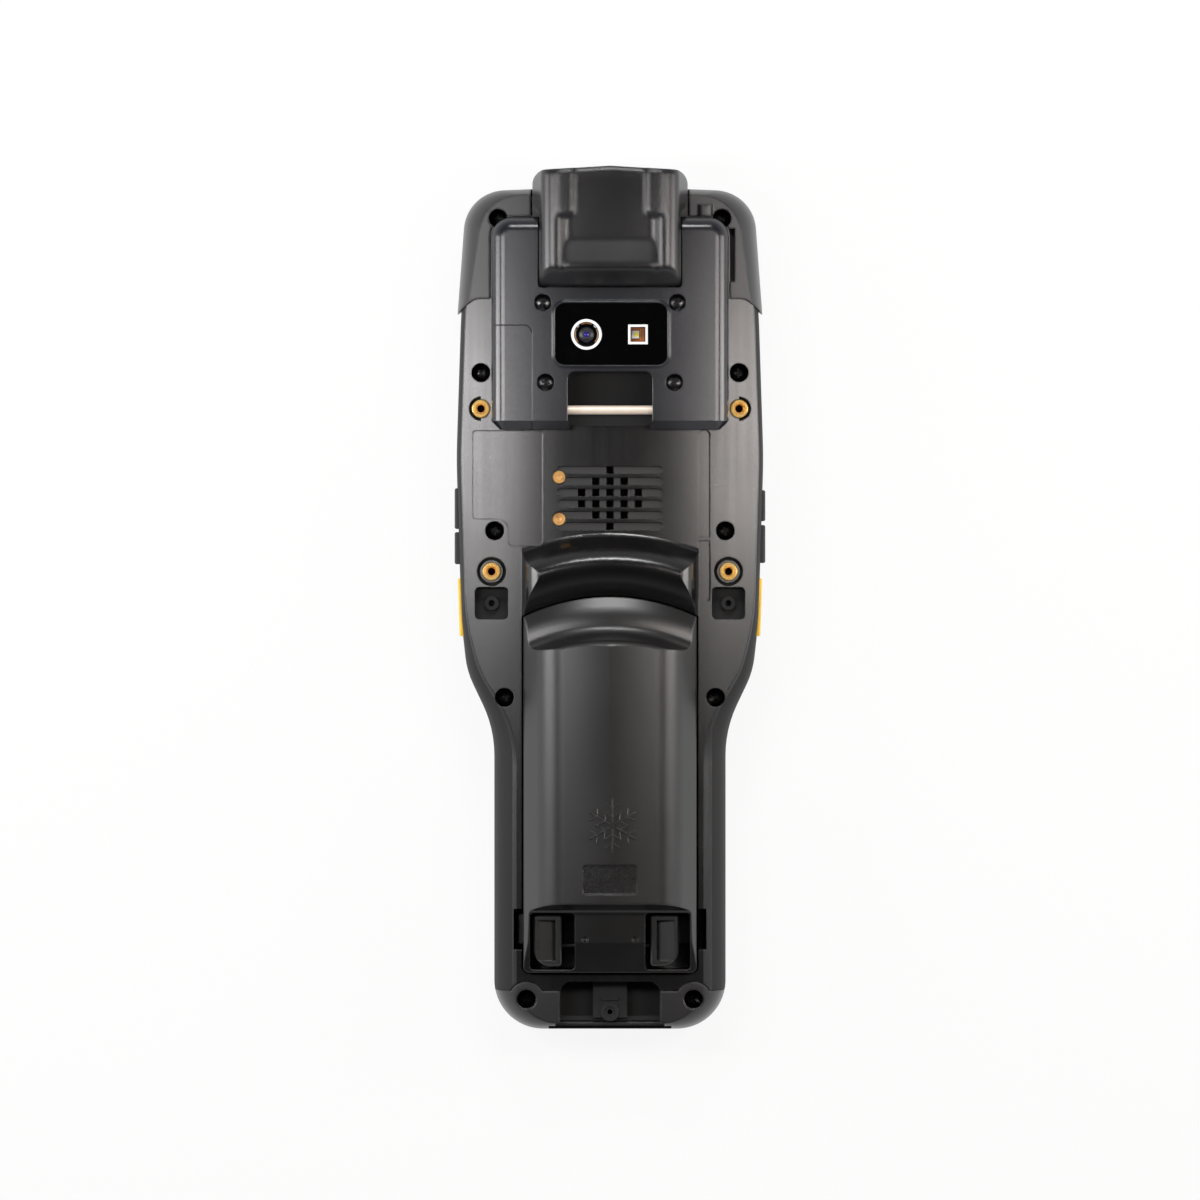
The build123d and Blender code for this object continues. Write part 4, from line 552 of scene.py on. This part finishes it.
# %% Geometry Nodes by short calls
class Shape:
    """A Geometry Nodes tree whose sizes are named inputs."""

    def __init__(self, name, **sizes):
        self.tree = bpy.data.node_groups.new(name, "GeometryNodeTree")
        self.sizes = sizes
        self.tree.interface.new_socket(name="Points", in_out="INPUT", socket_type="NodeSocketGeometry")
        for size in sizes:
            self.tree.interface.new_socket(name=size, in_out="INPUT", socket_type="NodeSocketFloat")
        self.tree.interface.new_socket(name="Geometry", in_out="OUTPUT", socket_type="NodeSocketGeometry")
        self.inputs = self.tree.nodes.new("NodeGroupInput").outputs
        self.result = self.tree.nodes.new("NodeGroupOutput").inputs[0]

    def node(self, kind, sockets, settings=None, output=0):
        """Add a node; a list of values or links all go to one socket."""
        made = self.tree.nodes.new(kind)
        for name, value in (settings or {}).items():
            setattr(made, name, value)
        for name, value in sockets.items():
            for one in value if isinstance(value, list) else [value]:
                if isinstance(one, bpy.types.NodeSocket):
                    self.tree.links.new(one, made.inputs[name])
                else:
                    made.inputs[name].default_value = one
        return made.outputs[output]

    def maths(self, operation, one, other):
        return self.node("ShaderNodeMath", {0: one, 1: other}, {"operation": operation})

    def cylinder(self, vertices, radius, depth):
        """An upright cylinder round the origin."""
        return self.node("GeometryNodeMeshCylinder", {"Vertices": vertices, "Radius": radius, "Depth": depth})

    def cone(self, vertices, top, bottom, depth):
        """An upright cone on the origin, with its radius at the top and at the bottom."""
        sockets = {"Vertices": vertices, "Radius Top": top, "Radius Bottom": bottom, "Depth": depth}
        return self.node("GeometryNodeMeshCone", sockets)

    def boolean(self, operation, meshes):
        """Meshes joined, cut or intersected, by the names of the node's sockets."""
        return self.node("GeometryNodeMeshBoolean", meshes, {"operation": operation, "solver": "EXACT"})

    def moved(self, geometry, z, turn=0.0):
        """Geometry raised by z and turned about the vertical."""
        place = self.node("ShaderNodeCombineXYZ", {"Z": z})
        sockets = {"Geometry": geometry, "Translation": place, "Rotation": (0.0, 0.0, turn)}
        return self.node("GeometryNodeTransform", sockets)

    def chance(self, low, high, seed):
        """A random number for each point."""
        sockets = {"Min": low, "Max": high, "Seed": seed}
        return self.node("FunctionNodeRandomValue", sockets, {"data_type": "FLOAT"}, "Value")

    def place(self, piece, seed, scale, material):
        """The piece on every point, each turned by its own angle, made real and dressed."""
        turn = self.node("ShaderNodeCombineXYZ", {"Z": self.chance(0.0, math.pi, seed)})
        sockets = {"Points": self.inputs["Points"], "Instance": piece, "Rotation": turn, "Scale": scale}
        placed = self.node("GeometryNodeInstanceOnPoints", sockets)
        real = self.node("GeometryNodeRealizeInstances", {"Geometry": placed})
        dressed = self.node("GeometryNodeSetMaterial", {"Geometry": real, "Material": material})
        self.tree.links.new(dressed, self.result)

    def bake(self, name, points, material, body, slot_name, stands_for=()):
        """Run the tree over some points and keep the plain mesh."""
        mesh = bpy.data.meshes.new(name)
        mesh.from_pydata(points, [], [])
        made = bpy.data.objects.new(name, mesh)
        bpy.context.scene.collection.objects.link(made)
        modifier = made.modifiers.new("shape", "NODES")
        modifier.node_group = self.tree
        for socket in self.tree.interface.items_tree:
            if socket.in_out == "INPUT" and socket.name in self.sizes:
                modifier[socket.identifier] = float(self.sizes[socket.name])
        graph = bpy.context.evaluated_depsgraph_get()
        baked = bpy.data.meshes.new_from_object(made.evaluated_get(graph))
        made.modifiers.clear()
        made.data = baked
        return settle(made, material, body, stands_for)


print("shapes ready")


# %% Screw tree
def screw(name, **sizes):
    """Tree of a cross-recess pan-head screw whose top is at the point it is placed on."""
    shape = Shape(name, **sizes)
    size = shape.inputs
    head = shape.cylinder(40, size["head_radius"], size["head_height"])
    head = shape.moved(head, shape.maths("MULTIPLY", size["head_height"], -0.5))
    dome = {"Segments": 40, "Rings": 40, "Radius": size["dome_radius"]}
    ball = shape.node("GeometryNodeMeshUVSphere", dome)
    ball = shape.moved(ball, shape.maths("MULTIPLY", size["dome_radius"], -1.0))
    domed = shape.boolean("INTERSECT", {"Mesh 2": [head, ball]})
    deep = shape.maths("MULTIPLY", size["cross_depth"], 2.0)
    corners = {"X": size["cross_span"], "Y": size["cross_width"], "Z": deep}
    bar = shape.node("GeometryNodeMeshCube", {"Size": shape.node("ShaderNodeCombineXYZ", corners)})
    pit = shape.cone(16, size["pit_radius"], 0.05, deep)
    pit = shape.moved(pit, shape.maths("MULTIPLY", size["cross_depth"], -1.15))
    off_axis = 0.02  # keeps the bars' faces off those of the cylinder
    cut = [shape.moved(bar, 0.0, off_axis), shape.moved(bar, 0.0, math.radians(90) + off_axis), pit]
    recessed = shape.boolean("DIFFERENCE", {"Mesh 1": domed, "Mesh 2": cut})
    shank = shape.cylinder(24, size["shank_radius"], size["shank_length"])
    below_head = shape.maths("MULTIPLY", size["head_height"], -0.9)
    reach = shape.maths("ADD", shape.maths("MULTIPLY", size["shank_length"], -0.5), below_head)
    whole = shape.boolean("UNION", {"Mesh 2": [recessed, shape.moved(shank, reach)]})
    shape.place(whole, 7, (MM, MM, MM), black_steel)
    return shape


print("screw tree ready")

# %% Set the screws
common = dict(dome_radius=5.2, cross_span=2.3, cross_width=0.55, pit_radius=0.5, shank_radius=1.0)
screw_sizes = {
    "cover_screw": dict(head_radius=2.0, head_height=1.6, cross_depth=0.85, shank_length=7.6),
    "housing_screw": dict(head_radius=2.1, head_height=1.7, cross_depth=0.95, shank_length=8.6),
}
for name, sizes in screw_sizes.items():
    solid = f"{name}s"
    tops = [top_of(corners) for corners in solids_of(solid)]
    screw(name, **sizes, **common).bake(f"{name}_set", tops, black_steel, "housing", "screw_black", [solid])

# %% [markdown]
# ## Turned brass
# A heat-set insert is turned from brass bar: a knurled outside that bites into the plastic, a
# chamfered top and a thread. Knurl and thread could be booleans, which are slow and fragile.
# Here they come from one lathe profile whose radius also depends on the angle. The two grip
# contacts beside the grille are turned too.


# %% Lathe
def turned(profile, centre, sides=48, reach=lambda r, z, angle: r, arc=None):
    """A closed profile of (radius, height) pairs in millimetres, turned about a vertical axis."""
    start, end = arc or (0.0, 360.0)
    whole = arc is None
    steps = sides if whole else sides + 1
    verts, faces = [], []
    for step in range(steps):
        angle = math.radians(start + (end - start) * step / sides)
        for r, z in profile:
            far = reach(r, z, angle) * MM
            x, y = centre[0] + far * math.cos(angle), centre[1] + far * math.sin(angle)
            verts.append((x, y, centre[2] + z * MM))
    count = len(profile)
    for step in range(sides):
        this, after = step * count, (step + 1) % steps * count
        for index in range(count):
            following = (index + 1) % count
            faces.append((this + index, after + index, after + following, this + following))
    if not whole:
        faces += [tuple(range(count)), tuple(range(sides * count, (sides + 1) * count))]
    return verts, faces


print("lathe ready")

# %% Inserts
insert_radius, bore_radius = 2.35, 0.95
knurl_teeth, knurl_depth = 26, 0.09
thread_pitch, thread_depth, thread_top, thread_rings = 0.5, 0.16, -0.8, 36


def insert_reach(r, z, angle):
    """Knurl on the outside, broken by the groove below the collar, and a helix inside."""
    if r > 2.3:
        return r - knurl_depth * (1 + math.cos(knurl_teeth * angle))
    if r < 0.96 and z < -0.75:
        share = (z / thread_pitch + angle / (2 * math.pi)) % 1
        return r + thread_depth * abs(2 * share - 1)
    return r


thread = [(bore_radius, thread_top - thread_pitch / 4 * ring) for ring in range(thread_rings)]
insert_profile = [(insert_radius, z) for z in (-5.3, -3.2, -1.15)] + [(2.05, -1.1), (2.05, -0.9)]
insert_profile += [(insert_radius, -0.85), (insert_radius, -0.2), (2.02, 0.0), (1.5, 0.0), (1.42, -0.1)]
insert_profile += [(0.98, -0.55), (bore_radius, -0.7)] + thread + [(bore_radius, -5.3)]
insert_tops = [top_of(corners) for corners in solids_of("strap_inserts")]
inserts = [turned(insert_profile, top, 104, insert_reach) for top in insert_tops]
build("insert_set", inserts, brass, "housing", ["strap_inserts"])

# %% Contacts
contact_profile = [(0.0, -1.2), (1.65, -1.2), (1.65, -0.2), (1.45, 0.0), (1.2, 0.0), (1.08, -0.16)]
contact_profile += [(0.86, -0.16), (0.72, -0.02), (0.4, -0.06), (0.0, -0.16)]
contacts = [turned(contact_profile, top_of(corners), 40) for corners in solids_of("grip_contacts")]
build("contact_set", contacts, contact_gold, "housing", ["grip_contacts"])

# %% [markdown]
# ## Camera and flash
# Behind the black window sits a small autofocus module: a bronze rim seen in arcs, a grey
# conical baffle and a tiny coated front element. The flash is a white LED package with a
# yellow phosphor die on an orange board with copper tracks. Painted discs would look flat as
# soon as the view tilts, so the round parts are turned and the rest are small blocks.

# %% Camera
lens_top = top_of(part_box("camera_lens"))
module_top = top_of(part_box("camera_lens"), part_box("camera_module")[1][2])
rim_profile = [(2.72, 0.0), (3.18, 0.0), (3.18, 0.12), (3.0, 0.2), (2.72, 0.12)]
arcs = [turned(rim_profile, module_top, 16, arc=span) for span in ((62, 118), (150, 222), (-42, 30))]
build("module_rim", arcs, bezel_bronze, "housing")
tick_profile = [(2.8, 0.0), (3.1, 0.0), (3.1, 0.22), (2.8, 0.22)]
ticks = [turned(tick_profile, module_top, 6, arc=span) for span in ((36, 50), (130, 144))]
build("module_marks", ticks, ring_white, "housing")
baffle = [(0.62, 0.05), (0.62, 0.24), (1.1, 0.26), (1.7, 0.1), (1.95, 0.0), (1.95, -0.1), (0.62, -0.1)]
build("lens_baffle", [turned(baffle, lens_top)], lens_dome_black, "housing")
element = [(0.0, 0.0), (0.6, 0.0), (0.6, 0.1), (0.4, 0.16), (0.0, 0.2)]
build("lens_element", [turned(element, lens_top, 32)], pupil_blue, "housing")


# %% Flash
def block(low, high):
    """A plain box between two corners in metres."""
    verts = [(x, y, z) for x in (low[0], high[0]) for y in (low[1], high[1]) for z in (low[2], high[2])]
    return verts, [(0, 1, 3, 2), (4, 6, 7, 5), (0, 4, 5, 1), (2, 3, 7, 6), (0, 2, 6, 4), (1, 5, 7, 3)]


led_low, led_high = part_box("flash_led")
die_low = (led_low[0] + 0.75 * MM, led_low[1] + 0.42 * MM, led_high[2])
die_high = (led_high[0] - 0.14 * MM, led_high[1] - 0.42 * MM, led_high[2] + 0.06 * MM)
build("flash_die", [block(die_low, die_high)], led_yellow, "housing")
board_low, board_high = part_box("flash_board")
tracks = []
for inset in (0.45, 0.85, 1.25):
    track_low = (board_high[0] - inset * MM, board_low[1] + 0.3 * MM, board_high[2])
    track_high = (board_high[0] - (inset - 0.22) * MM, board_high[1] - 0.3 * MM, board_high[2] + 0.03 * MM)
    tracks.append(block(track_low, track_high))
build("flash_tracks", tracks, flash_track, "housing")

# %% [markdown]
# ## Rim of the camera window
# The window sits in a raised bead that keeps the glass off the table. A bevelled curve would
# make it too, but its corners are hard to hold to a size. The bead is one round section
# carried along the window's outline.


# %% Rim
def outline(half_x, half_y, radius, steps=8):
    """Points of a rounded rectangle with their outward directions, in millimetres."""
    found = []
    for quarter, (sx, sy) in enumerate(((1, 1), (-1, 1), (-1, -1), (1, -1))):
        for step in range(steps + 1):
            angle = math.radians(90 * (quarter + step / steps))
            out = (math.cos(angle), math.sin(angle))
            centre = (sx * (half_x - radius), sy * (half_y - radius))
            found.append(((centre[0] + radius * out[0], centre[1] + radius * out[1]), out))
    return found


def carried(points, section, centre):
    """A closed section of (outward, height) pairs carried along closed points."""
    verts = []
    for (x, y), (out_x, out_y) in points:
        verts += [
            (centre[0] + (x + out_x * far) * MM, centre[1] + (y + out_y * far) * MM, centre[2] + up * MM)
            for far, up in section
        ]
    count, whole = len(section), len(verts)
    faces = []
    for start in range(0, whole, count):
        for index in range(count):
            following = (index + 1) % count
            ahead = (start + count) % whole
            faces.append((start + index, ahead + index, ahead + following, start + following))
    return verts, faces


window_low, window_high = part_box("camera_window")
window_half = [(window_high[axis] - window_low[axis]) / 2 / MM for axis in (0, 1)]
window_radius = 2.6
bead_centre = top_of(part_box("camera_window"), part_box("side_access_cover")[1][2])
bead_half, bead_height, bead_foot = 0.42, 0.22, -0.12
bead_section = []
for degrees in range(0, 181, 20):
    angle = math.radians(degrees)
    bead_section.append((bead_half + bead_half * math.cos(angle), bead_height * math.sin(angle)))
bead_section += [(0.0, bead_foot), (2 * bead_half, bead_foot)]
bead = carried(outline(*window_half, window_radius), bead_section, bead_centre)
build("window_bead", [bead], cover_plastic, "housing")

# %% [markdown]
# ## Marks on the battery
# The battery carries a raised snow crystal, the general sign of a pack for cold stores, and
# below it a field with a coarse grip texture. A bump texture would vanish at the outline and in
# a printed copy, so both are real shapes. The case is curved, so every point of the marks
# finds its height by a ray cast onto the case.

# %% Snow crystal
case = nodes["battery_case"].data
case_faces = [tuple(face.vertices) for face in case.polygons]
case_tree = BVHTree.FromPolygons([vert.co.copy() for vert in case.vertices], case_faces)


def case_level(x, y):
    """Height of the battery case at a place, in metres."""
    hit = case_tree.ray_cast(Vector((x, y, 0.1)), Vector((0.0, 0.0, -1.0)))[0]
    return hit.z


def ridge(start, end, half=0.3 * MM, rise=0.26 * MM):
    """A low rounded ridge on the case between two places."""
    start, end = Vector(start), Vector(end)
    along = (end - start).normalized()
    side = Vector((-along.y, along.x))
    steps = max(2, round((end - start).length / (0.7 * MM)))
    section = [(-1.0, -0.06 * MM), (-0.78, rise), (0.78, rise), (1.0, -0.06 * MM)]
    verts = []
    for step in range(steps + 1):
        middle = start.lerp(end, step / steps)
        for share, lift in section:
            x, y = middle + side * share * half
            verts.append((x, y, case_level(x, y) + lift))
    faces = []
    for step in range(steps):
        a = step * 4
        faces += [(a + i, a + 4 + i, a + 4 + (i + 1) % 4, a + (i + 1) % 4) for i in range(4)]
    last = steps * 4
    return verts, faces + [(0, 1, 2, 3), (last, last + 1, last + 2, last + 3)]


crystal_centre = Vector((0.64, -57.6)) * MM
arm_start, arm_end = 0.8, 6.9  # millimetres from the centre
twigs = ((2.0, 2.3), (4.3, 1.9))  # root on the arm and length, in millimetres
twig_lean = math.radians(52)
ridges = []
for arm in range(6):
    angle = math.radians(30 + 60 * arm)
    along = Vector((math.cos(angle), math.sin(angle)))
    ridges.append(ridge(crystal_centre + along * arm_start * MM, crystal_centre + along * arm_end * MM))
    for root, length in twigs:
        for side in (-1, 1):
            lean = angle + side * twig_lean
            out = Vector((math.cos(lean), math.sin(lean)))
            foot = crystal_centre + along * root * MM + out * 0.42 * MM
            ridges.append(ridge(foot, foot + out * length * MM, 0.22 * MM))
build("snow_crystal", ridges, battery_plastic, "battery_pack")

# %% Grip field
field = Shape("grip_field", grain_radius=0.17, grain_height=0.13)
grain = field.cone(6, 0.05, field.inputs["grain_radius"], field.inputs["grain_height"])
field.place(grain, 5, field.chance(0.55 * MM, 1.15 * MM, 3), battery_plastic)
field_corner, grain_pitch, columns, rows = (-6.4, -74.5), 0.4, 33, 17
chance = random.Random(11)
grain_places = []
for column in range(columns):
    for row in range(rows):
        x = (field_corner[0] + grain_pitch * column + chance.uniform(-0.1, 0.1)) * MM
        y = (field_corner[1] + grain_pitch * row + chance.uniform(-0.1, 0.1)) * MM
        grain_places.append((x, y, case_level(x, y)))
field.bake("grip_grains", grain_places, battery_plastic, "battery_pack", "battery_plastic")

# %% [markdown]
# ## Key legends
# The number keys are printed with plain digits in the order of a telephone. An image would be
# the usual way, but a text curve with a hair of thickness stays sharp at any distance. The
# front faces down, so the print is mirrored to read from below.

# %% Digits
digit_height = 6.0 * MM
print_thickness, print_sink = 0.02 * MM, 0.005 * MM


def digit(text, place):
    """Vertices and faces of a printed digit that reads from below."""
    curve = bpy.data.curves.new("digit", "FONT")
    curve.body = text
    curve.size = digit_height
    curve.align_x = "CENTER"
    curve.align_y = "CENTER"
    curve.extrude = print_thickness
    curve.resolution_u = 3
    maker = bpy.data.objects.new("digit", curve)
    bpy.context.scene.collection.objects.link(maker)
    mesh = bpy.data.meshes.new_from_object(maker.evaluated_get(bpy.context.evaluated_depsgraph_get()))
    verts = [(place[0] - vert.co.x, place[1] + vert.co.y, place[2] + vert.co.z) for vert in mesh.vertices]
    faces = [tuple(face.vertices) for face in mesh.polygons]
    bpy.data.objects.remove(maker)
    return verts, faces


key_boxes = {name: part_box(name) for name in nodes if name.startswith("number_key_")}
by_row = sorted(key_boxes, key=lambda name: (-round(key_boxes[name][0][1], 3), -key_boxes[name][0][0]))
for name, text in zip(by_row, "123 456 789  0  "):
    if text != " ":
        under_key = top_of(key_boxes[name], key_boxes[name][0][2] - print_sink)
        strokes = [digit(text, under_key)]
        build(f"legend_{text}", strokes, legend_white, f"{name}_body", smooth_below=0.3)

# %% [markdown]
# ## End

# %% End
print("end of script")
